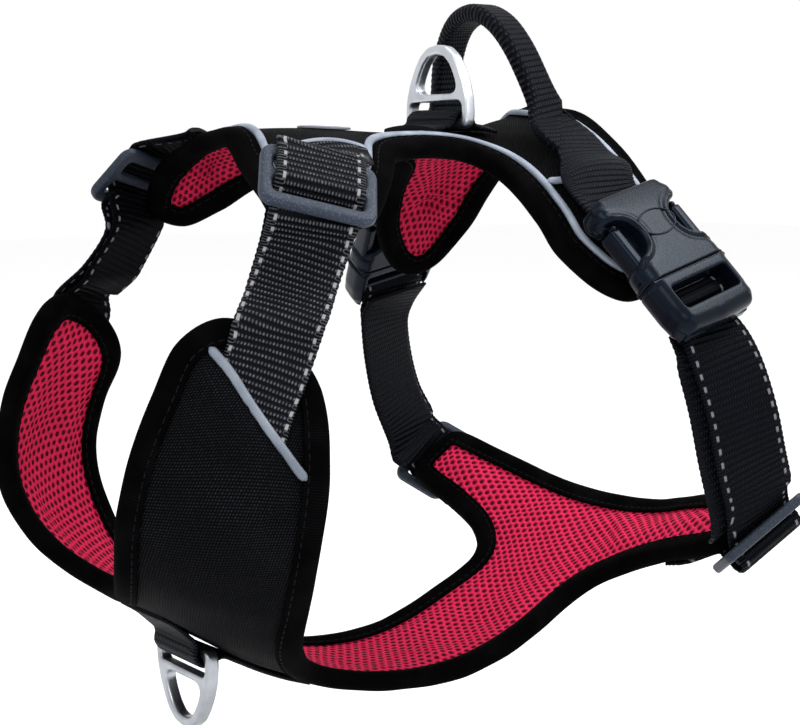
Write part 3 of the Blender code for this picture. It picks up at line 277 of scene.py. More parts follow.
RIB, LUMP = 1.95, 0.96    # pitch of the webbing's ribs, and of the lumps along a rib
RIB_HIGH, SCALLOP = 0.10, 0.25    # how far a rib stands out on the faces and at the edges
DASH_AT = 10.4            # middle of the reflective dashes, from the webbing's middle
SEAM_IN = 1.5             # the edge tape's seam, from the tape's inner edge
STITCH = dict(pitch=3.0, length=2.5, radius=0.24, sink=0.1)
FOLD_SPAN = 2.15          # the flap of the folded handle runs from -1 to 1.15 of half the width
NET_CLEAR = 0.55          # how far a net's points keep from a line, in steps of the net
RIM_SHARES = (0.03, 0.12, 0.28, 0.5, 0.76, 1.0)   # where a rounded rim has points, in radii


# ---------------------------------------------------------------- materials
class Nodes:
    """Short names for the shader nodes that the materials use. Cloth coordinates are in mm."""

    def __init__(self, name):
        self.material = bpy.data.materials.new(name)
        self.material.use_nodes = True
        self.tree = self.material.node_tree
        self.shader = self.tree.nodes["Principled BSDF"]

    def link(self, value, socket):
        """Sets a socket to a number or a colour, or links another node's output to it."""
        if isinstance(value, bpy.types.NodeSocket):
            self.tree.links.new(value, socket)
        else:
            socket.default_value = (*value, 1.0) if isinstance(value, tuple) else value

    def node(self, kind, **settings):
        made = self.tree.nodes.new(kind)
        for key, value in settings.items():
            setattr(made, key, value)
        return made

    def math(self, operation, *values):
        made = self.node("ShaderNodeMath", operation=operation)
        for value, socket in zip(values, made.inputs):
            self.link(value, socket)
        return made.outputs[0]

    def times(self, first, second):
        return self.math("MULTIPLY", first, second)

    def plus(self, first, second):
        return self.math("ADD", first, second)

    def line(self, value, slope, start):
        return self.math("MULTIPLY_ADD", value, slope, start)

    def cloth(self):
        """The UV map as two numbers in mm."""
        split = self.node("ShaderNodeSeparateXYZ")
        self.tree.links.new(self.node("ShaderNodeUVMap").outputs[0], split.inputs[0])
        return [self.times(split.outputs[k], 100.0) for k in (0, 1)]

    def wave(self, value, pitch, phase=0.0):
        """0 to 1 along a cosine of this pitch."""
        angle = self.line(value, 2 * math.pi / pitch, phase)
        return self.line(self.math("COSINE", angle), 0.5, 0.5)

    def noise(self, scale, detail=2.0, rough=0.5):
        """Noise in the object's own coordinates, scale in lumps per mm."""
        place = self.node("ShaderNodeTexCoord")
        made = self.node("ShaderNodeTexNoise")
        for key, value in (("Vector", place.outputs["Object"]), ("Scale", scale / MM),
                           ("Detail", detail), ("Roughness", rough)):
            self.link(value, made.inputs[key])
        return made.outputs[0]

    def ramp(self, value, low, high):
        """Smoothly from 0 at low to 1 at high."""
        made = self.node("ShaderNodeMapRange", interpolation_type="SMOOTHSTEP")
        for key, number in (("Value", value), ("From Min", low), ("From Max", high)):
            self.link(number, made.inputs[key])
        return made.outputs[0]

    def mix(self, share, first, second):
        made = self.node("ShaderNodeMix", data_type="RGBA")
        self.link(share, made.inputs[0])
        self.link(first, made.inputs[6])
        self.link(second, made.inputs[7])
        return made.outputs[2]

    def finish(self, colour, roughness, height=None, depth=0.1, strength=1.0, metallic=0.0,
               specular=0.5, tint=(1.0, 1.0, 1.0)):
        """The finished material. Depth is the height's real depth in mm."""
        for key, value in (("Base Color", colour), ("Roughness", roughness),
                           ("Metallic", metallic), ("Specular IOR Level", specular),
                           ("Specular Tint", tint)):
            self.link(value, self.shader.inputs[key])
        if height is not None:
            bump = self.node("ShaderNodeBump")
            for key, value in (("Strength", strength), ("Distance", depth * MM),
                               ("Height", height)):
                self.link(value, bump.inputs[key])
            self.link(bump.outputs[0], self.shader.inputs["Normal"])
        return self.material


def scaled(share, colour):
    return tuple(share * value for value in colour)


def oxford_material():
    """Coarse plain weave: a chequer of warp and weft bumps."""
    n = Nodes("oxford_cloth")
    x, y = n.cloth()
    pitch_x, pitch_y = 1.25, 1.05
    across, along = n.wave(x, pitch_x), n.wave(y, pitch_y)
    shift_x, shift_y = n.wave(x, pitch_x, math.pi), n.wave(y, pitch_y, math.pi)
    warp, weft = n.times(across, along), n.times(shift_x, shift_y)
    bumps = n.math("MAXIMUM", n.math("POWER", warp, 0.7), n.math("POWER", weft, 0.9))
    worn = n.ramp(n.noise(0.05, 3.0), 0.35, 0.7)
    fleck = n.ramp(n.noise(1.1, 1.0), 0.25, 0.75)
    share = n.times(n.ramp(bumps, 0.45, 1.0), n.line(fleck, 0.6, 0.4))
    share = n.times(share, n.line(worn, 0.5, 0.5))
    colour = n.mix(share, (0.0012, 0.0013, 0.0016), (0.017, 0.018, 0.022))
    rough = n.line(share, -0.15, 0.72)
    return n.finish(colour, rough, bumps, 0.35, 0.9, specular=0.02)


def mesh_material(name, share):
    """Knitted air mesh: red threads round dark holes that stand in staggered rows. Share scales
    its tone."""
    n = Nodes(name)
    x, y = n.cloth()
    step_x, step_y, hole = 4.9, 2.95, 0.84
    rings = []
    for shift in (0.0, 0.5):
        dx = n.math("WRAP", n.plus(x, shift * step_x), step_x / 2, -step_x / 2)
        dy = n.math("WRAP", n.plus(y, shift * step_y), step_y / 2, -step_y / 2)
        dx, dy = n.times(dx, 1 / hole), n.times(dy, 1 / hole)
        rings.append(n.math("SQRT", n.plus(n.times(dx, dx), n.times(dy, dy))))
    reach = n.math("MINIMUM", *rings)
    wobble = n.line(n.noise(0.9, 1.0), 0.35, -0.175)
    reach = n.plus(reach, wobble)
    net = n.ramp(reach, 0.82, 1.12)
    knit = n.wave(n.plus(y, n.times(x, 0.5)), 0.42)
    shade = n.line(knit, 0.28, 0.72)
    tone = n.times(shade, n.line(n.noise(0.12, 2.0), 0.35, 0.82))
    # A share below 1 darkens the red as painted shade; the back lining's copy uses 0.76.
    red = n.mix(tone, scaled(share, (0.31, 0.0055, 0.030)), scaled(share, (0.70, 0.024, 0.090)))
    # The holes' dark colour is painted shade: it stands in for the depth of each hole.
    colour = n.mix(net, (0.060, 0.0020, 0.010), red)
    height = n.plus(n.times(n.ramp(reach, 0.75, 1.7), 0.9), n.times(knit, 0.07))
    return n.finish(colour, 0.8, height, 0.8, 1.0, specular=0.04)


def binding_material():
    """Soft black tape with a faint rib along it."""
    n = Nodes("binding_tape")
    x, y = n.cloth()
    rib = n.wave(y, 0.7)
    line = n.wave(x, 0.9)
    height = n.plus(n.times(rib, 0.6), n.times(line, 0.4))
    worn = n.ramp(n.noise(0.09, 3.0), 0.4, 0.75)
    colour = n.mix(n.times(worn, rib), (0.0006, 0.0006, 0.0008),
                   (0.0030, 0.0030, 0.0034))
    return n.finish(colour, 0.86, height, 0.12, 0.7, specular=0.012)


def piping_material(name, share):
    """Light grey reflective cloth with a fine grain, pulled over a cord. Share scales its tone."""
    n = Nodes(name)
    grain = n.noise(2.2, 2.0)
    cloud = n.ramp(n.noise(0.10, 2.0), 0.35, 0.7)
    colour = n.mix(cloud, scaled(share, (0.20, 0.235, 0.30)), scaled(share, (0.33, 0.38, 0.46)))
    return n.finish(colour, 0.42, grain, 0.12, 0.5, specular=0.35)


def webbing_material(name, crest, dash=None, specular=0.07):
    """Ribbed nylon webbing: x is across from its middle, y along it. Dash is the colour of its
    reflective dashes, if it has them."""
    n = Nodes(name)
    x, y = n.cloth()
    row = n.math("FLOOR", n.math("DIVIDE", n.plus(y, 1000 * RIB), RIB))
    phase = n.times(n.math("MODULO", row, 2.0), math.pi)
    angle = n.plus(n.times(x, 2 * math.pi / LUMP), phase)
    lumps = n.line(n.math("COSINE", angle), 0.5, 0.5)
    ribs = n.wave(y, RIB, math.pi)
    side = n.math("ABSOLUTE", x)
    rim = n.ramp(side, DASH_AT - 0.5, DASH_AT + 0.1)
    body = n.times(ribs, n.line(lumps, 0.65, 0.35))
    ladder = n.times(n.wave(y, RIB / 2, math.pi), 0.75)
    height = n.plus(n.times(body, n.math("SUBTRACT", 1.0, rim)), n.times(ladder, rim))
    fleck = n.line(n.ramp(n.noise(0.9, 1.0), 0.3, 0.7), 0.6, 0.4)
    share = n.times(n.ramp(height, 0.30, 0.95), fleck)
    # Crest is the colour painted on the ribs' tops: a painted highlight that stands for their
    # glint.
    colour = n.mix(share, (0.0010, 0.0011, 0.0016), crest)
    if dash:
        line = n.ramp(n.math("ABSOLUTE", n.math("SUBTRACT", side, DASH_AT)), 0.58, 0.38)
        beat = n.math("FRACT", n.math("DIVIDE", n.plus(y, 2000 * RIB), 2 * RIB))
        on = n.times(n.ramp(beat, 0.04, 0.16), n.ramp(beat, 0.60, 0.48))
        mark = n.times(line, on)
        colour = n.mix(mark, colour, dash)
        height = n.plus(n.times(height, n.math("SUBTRACT", 1.0, mark)),
                        n.times(mark, 1.25))
    return n.finish(colour, 0.55, height, 0.5, 1.0, specular=specular, tint=(0.7, 0.82, 1.0))


def thread_material():
    n = Nodes("sewing_thread")
    twist = n.noise(1.6, 1.0)
    colour = n.mix(n.ramp(twist, 0.35, 0.65), (0.0008, 0.0008, 0.001), (0.005, 0.005, 0.006))
    return n.finish(colour, 0.6, twist, 0.1, 0.6, specular=0.05)


def slider_material(name, dark, pale):
    """Slate plastic, satin and finely speckled."""
    n = Nodes(name)
    speck = n.noise(1.7, 2.0, 0.7)
    fine = n.ramp(speck, 0.52, 0.68)
    colour = n.mix(fine, dark, pale)
    return n.finish(colour, 0.45, speck, 0.10, 0.55, specular=0.20, tint=(0.75, 0.86, 1.0))


def buckle_material():
    """Dark blue-grey plastic with a fine spark-eroded grain."""
    n = Nodes("buckle_plastic_fine")
    grain = n.noise(2.6, 2.0, 0.6)
    cloud = n.ramp(n.noise(0.06, 2.0), 0.3, 0.7)
    colour = n.mix(cloud, (0.0012, 0.0022, 0.0046), (0.0024, 0.0040, 0.0074))
    rough = n.line(grain, 0.16, 0.20)
    return n.finish(colour, rough, grain, 0.05, 0.45, specular=0.12, tint=(0.60, 0.77, 1.0))


def ring_material(name, share):
    """Satin anodised aluminium with faint brushing. Share darkens it."""
    n = Nodes(name)
    place = n.node("ShaderNodeTexCoord")
    stretch = n.node("ShaderNodeMapping")
    stretch.inputs["Scale"].default_value = (0.05, 1.0, 1.0)
    n.tree.links.new(place.outputs["Object"], stretch.inputs["Vector"])
    lines = n.node("ShaderNodeTexNoise")
    n.tree.links.new(stretch.outputs[0], lines.inputs["Vector"])
    lines.inputs["Scale"].default_value = 2400
    spots = n.ramp(n.noise(0.12, 3.0), 0.4, 0.75)
    colour = n.mix(spots, scaled(share, (0.62, 0.645, 0.69)), scaled(share, (0.50, 0.525, 0.575)))
    rough = n.line(lines.outputs[0], 0.12, 0.26)
    return n.finish(colour, rough, lines.outputs[0], 0.02, 0.3, metallic=1.0)


def patch_material():
    """Pale moulded rubber: x runs from 0 at the middle to 10 at the edge."""
    n = Nodes("badge_rubber")
    x, _ = n.cloth()
    inner = n.ramp(x, 6.6, 6.0)
    colour = n.mix(inner, (0.17, 0.18, 0.20), (0.68, 0.70, 0.74))
    return n.finish(colour, 0.5, n.noise(1.5, 1.0), 0.05, 0.4, specular=0.3)


# ---------------------------------------------------------------- curves
def unit(vectors):
    vectors = np.asarray(vectors, float)
    return vectors / np.linalg.norm(vectors, axis=-1, keepdims=True)


def distances(some, others):
    """From each of some points to each of the others."""
    return np.linalg.norm(some[:, None] - others[None], axis=2)


def sampled(rows, place, wanted):
    """Rows at the wanted places along a line, from those known at each place."""
    return np.column_stack([np.interp(wanted, place, rows[:, q]) for q in range(rows.shape[1])])


def neighbours(loop):
    """For each point of a closed line, the one after it and the one before it."""
    return np.roll(loop, -1, axis=0), np.roll(loop, 1, axis=0)


def through(points, per_span=16, closed=False):
    """A smooth curve (Catmull-Rom) through points of any dimension."""
    points = np.asarray(points, float)
    count = len(points)
    if closed:
        padded = np.vstack([points[-1], points, points[0], points[1]])
        spans = count
    else:
        first = 2 * points[0] - points[1]
        last = 2 * points[-1] - points[-2]
        padded = np.vstack([first, points, last])
        spans = count - 1
    t = np.linspace(0, 1, per_span, endpoint=False)[:, None]
    pieces = []
    for i in range(spans):
        a, b, c, d = padded[i:i + 4]
        pieces.append(0.5 * (2 * b + (c - a) * t + (2 * a - 5 * b + 4 * c - d) * t ** 2
                             + (3 * b - a - 3 * c + d) * t ** 3))
    if not closed:
        pieces.append(points[-1:])
    return np.vstack(pieces)


def respaced(curve, shortest, longest, flatness):
    """A closed curve with its points closer where it bends: each chord leaves it by about the
    flatness."""
    loop = np.vstack([curve, curve[:1]])
    steps = np.linalg.norm(np.diff(loop, axis=0), axis=1)
    along = np.r_[0, np.cumsum(steps)]
    after, before = neighbours(curve)
    ahead, behind = after - curve, curve - before
    reach = 0.5 * (np.linalg.norm(ahead, axis=1) + np.linalg.norm(behind, axis=1))
    cosine = (ahead * behind).sum(axis=1) / np.maximum(
        np.linalg.norm(ahead, axis=1) * np.linalg.norm(behind, axis=1), 1e-9)
    bend = np.arccos(np.clip(cosine, -1, 1)) / reach
    bend = np.convolve(np.r_[bend[-4:], bend, bend[:4]], np.ones(9) / 9, "valid")
    chord = np.clip(np.sqrt(8 * flatness / np.maximum(bend, 1e-6)), shortest, longest)
    chord = np.r_[chord, chord[0]]
    density = np.r_[0, np.cumsum(steps * 0.5 * (1 / chord[1:] + 1 / chord[:-1]))]
    count = max(3, int(round(density[-1])))
    wanted = np.linspace(0, density[-1], count + 1)[:-1]
    return sampled(loop, along, np.interp(wanted, density, along))


# ---------------------------------------------------------------- cloth: flat cut to worn shape
class Drape:
    """Carries points of the flat cut to the worn harness, smoothly through a table's rows."""

    SOFTNESS = 2e-4

    def __init__(self, rows, outward):
        rows = np.asarray(rows, float)
        self.cut, worn = rows[:, :2] / 100, rows[:, 2:]
        self.outward = outward
        count = len(rows)
        near = self._bend(distances(self.cut, self.cut))
        system = np.zeros((count + 3, count + 3))
        system[:count, :count] = near + self.SOFTNESS * np.eye(count)
        system[:count, count] = system[count, :count] = 1
        system[:count, count + 1:] = self.cut
        system[count + 1:, :count] = self.cut.T
        right = np.zeros((count + 3, 3))
        right[:count] = worn
        self.weights = np.linalg.solve(system, right)

    @staticmethod
    def _bend(distance):
        return distance ** 2 * np.log(np.maximum(distance, 1e-9))

    def at(self, cut):
        cut = np.atleast_2d(np.asarray(cut, float)) / 100
        near = self._bend(distances(cut, self.cut))
        plain = np.column_stack([np.ones(len(cut)), cut])
        return np.column_stack([near, plain]) @ self.weights

    def slopes(self, cut, step=0.5):
        cut = np.atleast_2d(np.asarray(cut, float))
        along_a, along_b = np.array([step, 0]), np.array([0, step])
        by_a = (self.at(cut + along_a) - self.at(cut - along_a)) / (2 * step)
        by_b = (self.at(cut + along_b) - self.at(cut - along_b)) / (2 * step)
        return by_a, by_b

    def normals(self, cut):
        by_a, by_b = self.slopes(cut)
        return self.outward * unit(np.cross(by_a, by_b))

    def inward(self, cut, tangent, sign):
        """Steps on the flat cut that are 1 mm long on the worn cloth, square to the edge."""
        by_a, by_b = self.slopes(cut)
        aa, ab, bb = (by_a * by_a).sum(1), (by_a * by_b).sum(1), (by_b * by_b).sum(1)
        across = sign * np.column_stack([-tangent[:, 1], tangent[:, 0]])
        area = aa * bb - ab * ab
        step = np.column_stack([(bb * across[:, 0] - ab * across[:, 1]) / area,
                                (aa * across[:, 1] - ab * across[:, 0]) / area])
        size = np.sqrt(aa * step[:, 0] ** 2 + 2 * ab * step[:, 0] * step[:, 1]
                       + bb * step[:, 1] ** 2)
        return step / size[:, None]


def inside(points, loop):
    """Which points of the flat cut are inside a closed outline."""
    x, y = points[:, 0], points[:, 1]
    hit = np.zeros(len(points), bool)
    for (x0, y0), (x1, y1) in zip(loop, np.roll(loop, -1, axis=0)):
        crosses = (y0 > y) != (y1 > y)
        with np.errstate(divide="ignore", invalid="ignore"):
            hit ^= crosses & (x < (x1 - x0) * (y - y0) / (y1 - y0) + x0)
    return hit


def clearance(points, loop):
    """Distance of each point from a closed line, on the flat cut or in space."""
    best = np.full(len(points), np.inf)
    for a, b in zip(loop, np.roll(loop, -1, axis=0)):
        span = b - a
        t = np.clip((points - a) @ span / (span @ span), 0, 1)
        best = np.minimum(best, np.linalg.norm(points - a - t[:, None] * span, axis=1))
    return best


def enclosed_area(loop):
    x, y = loop[:, 0], loop[:, 1]
    return 0.5 * float(np.sum(x * np.roll(y, -1) - np.roll(x, -1) * y))


def net_inside(loop, step):
    """A triangular net of points inside an outline, clear of it."""
    low, high = loop.min(axis=0), loop.max(axis=0)
    rows = []
    height = step * math.sqrt(3) / 2
    for k in range(int((high[1] - low[1]) / height) + 2):
        shift = 0.5 * step * (k % 2)
        half = int(max(abs(low[0]), abs(high[0])) / step) + 1
        rows += [(i * step + shift, low[1] + k * height) for i in range(-half, half + 1)]
    points = np.array(rows)
    points = points[inside(points, loop)]
    return points[clearance(points, loop) > NET_CLEAR * step]


def boundary(faces):
    """The edges of triangles that no other triangle shares, in the faces' own direction."""
    pairs = np.vstack([faces[:, [0, 1]], faces[:, [1, 2]], faces[:, [2, 0]]]).tolist()
    known = {(a, b) for a, b in pairs}
    return [(a, b) for a, b in pairs if (b, a) not in known]


def doubled_areas(flat, faces):
    """Twice each triangle's area, negative where it runs clockwise."""
    a, b, c = (flat[faces[:, k]] for k in range(3))
    return (b[:, 0] - a[:, 0]) * (c[:, 1] - a[:, 1]) - (b[:, 1] - a[:, 1]) * (c[:, 0] - a[:, 0])


def webbing_rows(middle, across, width=WEBBING_WIDTH, thick=WEBBING_THICK):
    """Rows for webbing that is flat across, one for each middle point."""
    middle = np.asarray(middle, float)
    half = np.broadcast_to(unit(across), middle.shape) * np.reshape(width, (-1, 1)) / 2
    thick = np.broadcast_to(np.reshape(thick, (-1, 1)), (len(middle), 1))
    return np.hstack([middle - half, middle, middle + half, thick])


def table_rows(table):
    table = np.array(table, float)
    if table.shape[1] == 6:
        return webbing_rows(table[:, :3], table[:, 3:])
    return webbing_rows(table[:, :3], table[:, 3:6], table[:, 6], table[:, 7])


def mirror_rows(rows):
    """The same webbing on the harness's right side."""
    rows = np.array(rows, float)[:, [6, 7, 8, 3, 4, 5, 0, 1, 2, 9]]
    rows[:, [0, 3, 6]] *= -1
    return rows


class Frame:
    """Where a hard piece sits: its middle and its across, along and outward directions."""

    def __init__(self, middle, across, along):
        self.middle = np.array(middle, float)
        self.along = unit(along)
        across = np.array(across, float)
        self.across = unit(across - (across @ self.along) * self.along)
        self.out = np.cross(self.along, self.across)

    def at(self, across, along, out):
        return (self.middle + np.multiply.outer(across, self.across)
                + np.multiply.outer(along, self.along) + np.multiply.outer(out, self.out))

    def rows(self, path):
        path = np.array(path, float)
        points = self.at(np.zeros(len(path)), path[:, 0], path[:, 1])
        return webbing_rows(points, self.across)

    def mirrored(self, move=(0, 0, 0)):
        flip = np.array([-1.0, 1.0, 1.0])
        return Frame(self.middle * flip + move, -self.across * flip, self.along * flip)


def whole(half):
    """A closed outline from its right half, given from one end of the middle line to the other."""
    half = np.array(half, float)
    other = half[::-1].copy()
    other[:, 0] *= -1
    keep = np.abs(other[:, 0]) > 1e-9
    return np.vstack([half, other[keep]])


def rounded_box(width, low, high, radius, steps=3):
    """A rounded rectangle's outline, across -width/2..width/2 and along low..high."""
    corners = ((1, low, -90), (1, high, 0), (-1, high, 90), (-1, low, 180))
    points = []
    for side, level, start in corners:
        x = side * (width / 2 - radius)
        y = level + radius if level == low else level - radius
        for k in range(steps + 1):
            angle = math.radians(start + 90 * k / steps)
            points.append((x + radius * math.cos(angle), y + radius * math.sin(angle)))
    return np.array(points)


def mirrored(rows):
    """A panel's table rows on the harness's right side."""
    rows = np.array(rows, float)
    rows[:, [0, 2]] *= -1
    return rows


def on_cloth(drape, rows, side=1):
    """Webbing rows lying on a panel. Each row: cut_a, cut_b, height over the cloth, the webbing's
    run on the flat cut (along_a, along_b) and the line of its width there (across_a, across_b)."""
    rows = np.array(rows, float)
    cut, height = rows[:, 0:2] * (side, 1), rows[:, 2:3]
    along, across = rows[:, 3:5] * (side, 1), rows[:, 5:7] * (1, side)
    by_a, by_b = drape.slopes(cut)
    run = unit(by_a * along[:, :1] + by_b * along[:, 1:])
    width = by_a * across[:, :1] + by_b * across[:, 1:]
    clear = np.linalg.norm(np.cross(run, width), axis=1, keepdims=True)
    half = across * (WEBBING_WIDTH / 2) / clear
    spots = [cut - half, cut, cut + half]
    lines = [drape.at(spot) + drape.normals(spot) * height for spot in spots]
    return np.hstack(lines + [np.full((len(cut), 1), WEBBING_THICK)])


def shifted(rows, inward, forward):
    """A second layer of webbing beside the first."""
    rows = np.array(rows, float)
    along = unit(np.gradient(rows[:, 3:6], axis=0))
    across = unit(rows[:, 6:9] - rows[:, 0:3])
    move = unit(np.cross(along, across)) * inward + across * forward
    return np.hstack([rows[:, :9] - np.tile(move, 3), rows[:, 9:]])


def loop_over(bar, along, out, rise):
    """Middle points of webbing that goes over a ring's bar, from one flat end to the other."""
    path = ((-7.6, rise), (-5.6, rise + 0.5), (-4.1, 0.2), (-2.9, 2.7), (0, 3.9),
            (2.9, 2.7), (4.1, 0.2), (5.6, rise + 0.5), (7.6, rise))
    path = np.array(path, float)
    return bar + np.multiply.outer(path[:, 0], along) + np.multiply.outer(path[:, 1], out)


# ---------------------------------------------------------------- meshes
SHARP = math.radians(50)  # edges that turn by more than this are drawn sharp


def add_piece(name, points, faces, finish, corners=None, stands_for=(), body="harness",
              slot=None):
    """One piece from points in mm. Corners are the cloth coordinates of each face corner."""
    mesh = bpy.data.meshes.new(name)
    mesh.from_pydata((np.asarray(points, float) * MM).tolist(), [], faces)
    if corners is not None:
        layer = mesh.uv_layers.new(name="UVMap")
        layer.data.foreach_set("uv", (np.asarray(corners, float) / 100).ravel())
    mesh.materials.append(finish)
    mesh.update()
    mesh.shade_smooth()
    mesh.set_sharp_from_angle(angle=SHARP)
    made = bpy.data.objects.new(name, mesh)
    bpy.context.scene.collection.objects.link(made)
    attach(made, body)
    if stands_for:
        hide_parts(*stands_for)
    return made


def signed_volume(points, faces):
    corner = points[np.array([face[:3] for face in faces])]
    other = points[np.array([(face[0], face[2], face[-1]) for face in faces if len(face) == 4])]
    volume = np.einsum("ij,ij->i", corner[:, 0], np.cross(corner[:, 1], corner[:, 2])).sum()
    if len(other):
        volume += np.einsum("ij,ij->i", other[:, 0], np.cross(other[:, 1], other[:, 2])).sum()
    return volume


def band(name, columns, around, along, finish, closed=False, cloth=None, **facts):
    """A bar through matching points of several lines; the section closes on itself.

    Around has one cloth coordinate more than there are columns, along one for each point of a
    line, and one more where the band is closed. Cloth gives both for each point instead."""
    columns = np.asarray(columns, float)
    sides, count = columns.shape[:2]
    points = columns.transpose(1, 0, 2).reshape(-1, 3)
    i, k = np.meshgrid(np.arange(count if closed else count - 1), np.arange(sides), indexing="ij")
    j, m = (i + 1) % count, (k + 1) % sides
    quads = np.stack([i * sides + k, i * sides + m, j * sides + m, j * sides + k], -1)
    quads = quads.reshape(-1, 4)
    if cloth is None:
        around, along = np.asarray(around, float), np.asarray(along, float)
        near, far = around[k], around[k + 1]
        back, front = along[i], along[i + 1]
        corners = np.stack([np.stack(pair, -1) for pair in
                            ((near, back), (far, back), (far, front), (near, front))], 2)
        corners = corners.reshape(-1, 4, 2)
    else:
        corners = cloth.transpose(1, 0, 2).reshape(-1, 2)[quads]
    turned = signed_volume(points, quads.tolist()) < 0
    if turned:
        quads, corners = quads[:, ::-1], corners[:, ::-1]
    faces, corners = quads.tolist(), corners.reshape(-1, 2).tolist()
    if not closed:
        last = range((count - 1) * sides, count * sides)
        ends = [list(range(sides - 1, -1, -1)), list(last)]
        faces += [end[::-1] for end in ends] if turned else ends
        corners += [(0.0, 0.0)] * (2 * sides)
    return add_piece(name, points, faces, finish, corners, **facts)


def lengths(points, closed=False):
    """Distance along a line at each point, and back at the start where it is closed."""
    points = np.asarray(points, float)
    if closed:
        points = np.vstack([points, points[:1]])
    return np.r_[0, np.cumsum(np.linalg.norm(np.diff(points, axis=0), axis=1))]


def fine_rows(rows, step=0.45):
    """Webbing rows close enough together for its ribs."""
    rows = through(np.asarray(rows, float), 40)
    place = lengths(rows[:, 3:6])
    wanted = np.linspace(0, place[-1], int(place[-1] / step) + 1)
    return sampled(rows, place, wanted)


def softened(rows, reach, times):
    """The same rows with their bends evened out."""
    rows = rows.copy()
    kernel = np.ones(2 * reach + 1) / (2 * reach + 1)
    for _ in range(times):
        padded = np.vstack([rows[:1].repeat(reach, 0), rows, rows[-1:].repeat(reach, 0)])
        rows = np.column_stack([np.convolve(padded[:, q], kernel, "valid")
                                for q in range(rows.shape[1])])
    return rows


def webbing_section(count):
    """Rows round the webbing: share of half the width, level of the face (1 is the upper one), and
    how far out on the rounded edge."""
    shares = np.linspace(-1, 1, count)
    turn = ((0.92, 0.35), (0.55, 0.85), (0.0, 1.0), (-0.55, 0.85), (-0.92, 0.35))
    section = [(share, 1.0, 0.0) for share in shares]
    section += [(1.0, level, outer) for level, outer in turn]
    section += [(share, -1.0, 0.0) for share in shares[::-1]]
    return section + [(-1.0, -level, outer) for level, outer in turn]


def webbing(name, rows, finish, fold=None, **facts):
    """Ribbed webbing with scalloped edges through fine rows. Fold is 0 where it is flat and 1
    where it is folded lengthwise, open along one edge; in between a flap covers a part."""
    left, middle, right = rows[:, 0:3], rows[:, 3:6], rows[:, 6:9]
    count = len(rows)
    fold = np.zeros(count) if fold is None else fold
    along = np.zeros_like(middle)
    along[1:-1] = unit(middle[2:] - middle[:-2])
    along[0], along[-1] = along[1], along[-2]
    flow = np.column_stack([np.convolve(np.pad(along[:, q], 10, "edge"), np.ones(21) / 21,
                                        "valid") for q in range(3)])
    place = lengths(middle)
    half_width = 0.5 * np.linalg.norm(right - left, axis=1)
    thick = rows[:, 9]
    edge = np.minimum(0.45 * thick, 1.6) / half_width
    spare = np.maximum(thick - WEBBING_THICK, 0)
    columns, cloth = [], []
    for share, level, outer in webbing_section(33 if fold.any() else 15):
        reach = share * (1 - edge) + np.sign(share) * outer * edge
        slit = -fold * (outer == 1.0) * (share > 0) * 1.5 / half_width
        s = (reach + slit)[:, None]
        point = left * s * (s - 1) / 2 + middle * (1 - s * s) + right * s * (s + 1) / 2
        tangent = left * (s - 0.5) - 2 * s * middle + right * (s + 0.5)
        square = unit(tangent - (tangent * along).sum(1)[:, None] * along)
        out = unit(np.cross(along, tangent))
        away = point - middle
        x, y = (away * square).sum(1), place + (away * flow).sum(1)
        crest = 0.5 - 0.5 * np.cos(2 * math.pi * y / RIB)
        point = point + square * (SCALLOP * crest * outer * np.sign(share))[:, None]
        rib = crest * (abs(share) < 0.999) if outer == 0 else 0.0
        high = level * (thick / 2 - RIB_HIGH + RIB_HIGH * rib)
        if level < 0:
            bare = np.clip((s[:, 0] + 1 - FOLD_SPAN * fold) * half_width / 0.9 + 0.5, 0, 1)
            flap = np.maximum(WEBBING_THICK - 0.2 - spare, 0) * np.clip(fold * 8, 0, 1)
            high += level * (flap * (1 - bare) - spare * bare)
        columns.append(point + out * high[:, None])
        cloth.append(np.column_stack([x, y]))
    return band(name, columns, None, None, finish, cloth=np.array(cloth), **facts)


def stitch_line(points, normals):
    """Points and faces of short threads along a line that lies on cloth."""
    pitch, length, radius, sink = (STITCH[key] for key in ("pitch", "length", "radius", "sink"))
    place = lengths(points)
    starts = np.arange(0.5 * (pitch - length), place[-1] - length, pitch)
    rings = ((0.0, 0.25, -1.2), (0.12, 0.9, -0.3), (0.5, 1.0, 0.15), (0.88, 0.9, -0.3),
             (1.0, 0.25, -1.2))
    out, faces = [], []
    for begin in starts:
        base = len(out)
        spots = [begin + share * length for share, _, _ in rings]
        centre, up = sampled(points, place, spots), unit(sampled(normals, place, spots))
        ahead = unit(np.gradient(centre, axis=0))
        side = unit(np.cross(up, ahead))
        for index, (_, size, level) in enumerate(rings):
            middle = centre[index] + up[index] * (level - sink) * radius
            for turn in range(5):
                angle = 2 * math.pi * turn / 5
                out.append(middle + radius * size * (math.cos(angle) * side[index]
                                                     + math.sin(angle) * up[index]))
        for index in range(len(rings) - 1):
            for turn in range(5):
                a, b = base + index * 5 + turn, base + index * 5 + (turn + 1) % 5
                faces.append((a, b, b + 5, a + 5))
        last = base + 5 * (len(rings) - 1)
        faces.append(tuple(base + turn for turn in range(4, -1, -1)))
        faces.append(tuple(last + turn for turn in range(5)))
    return out, faces


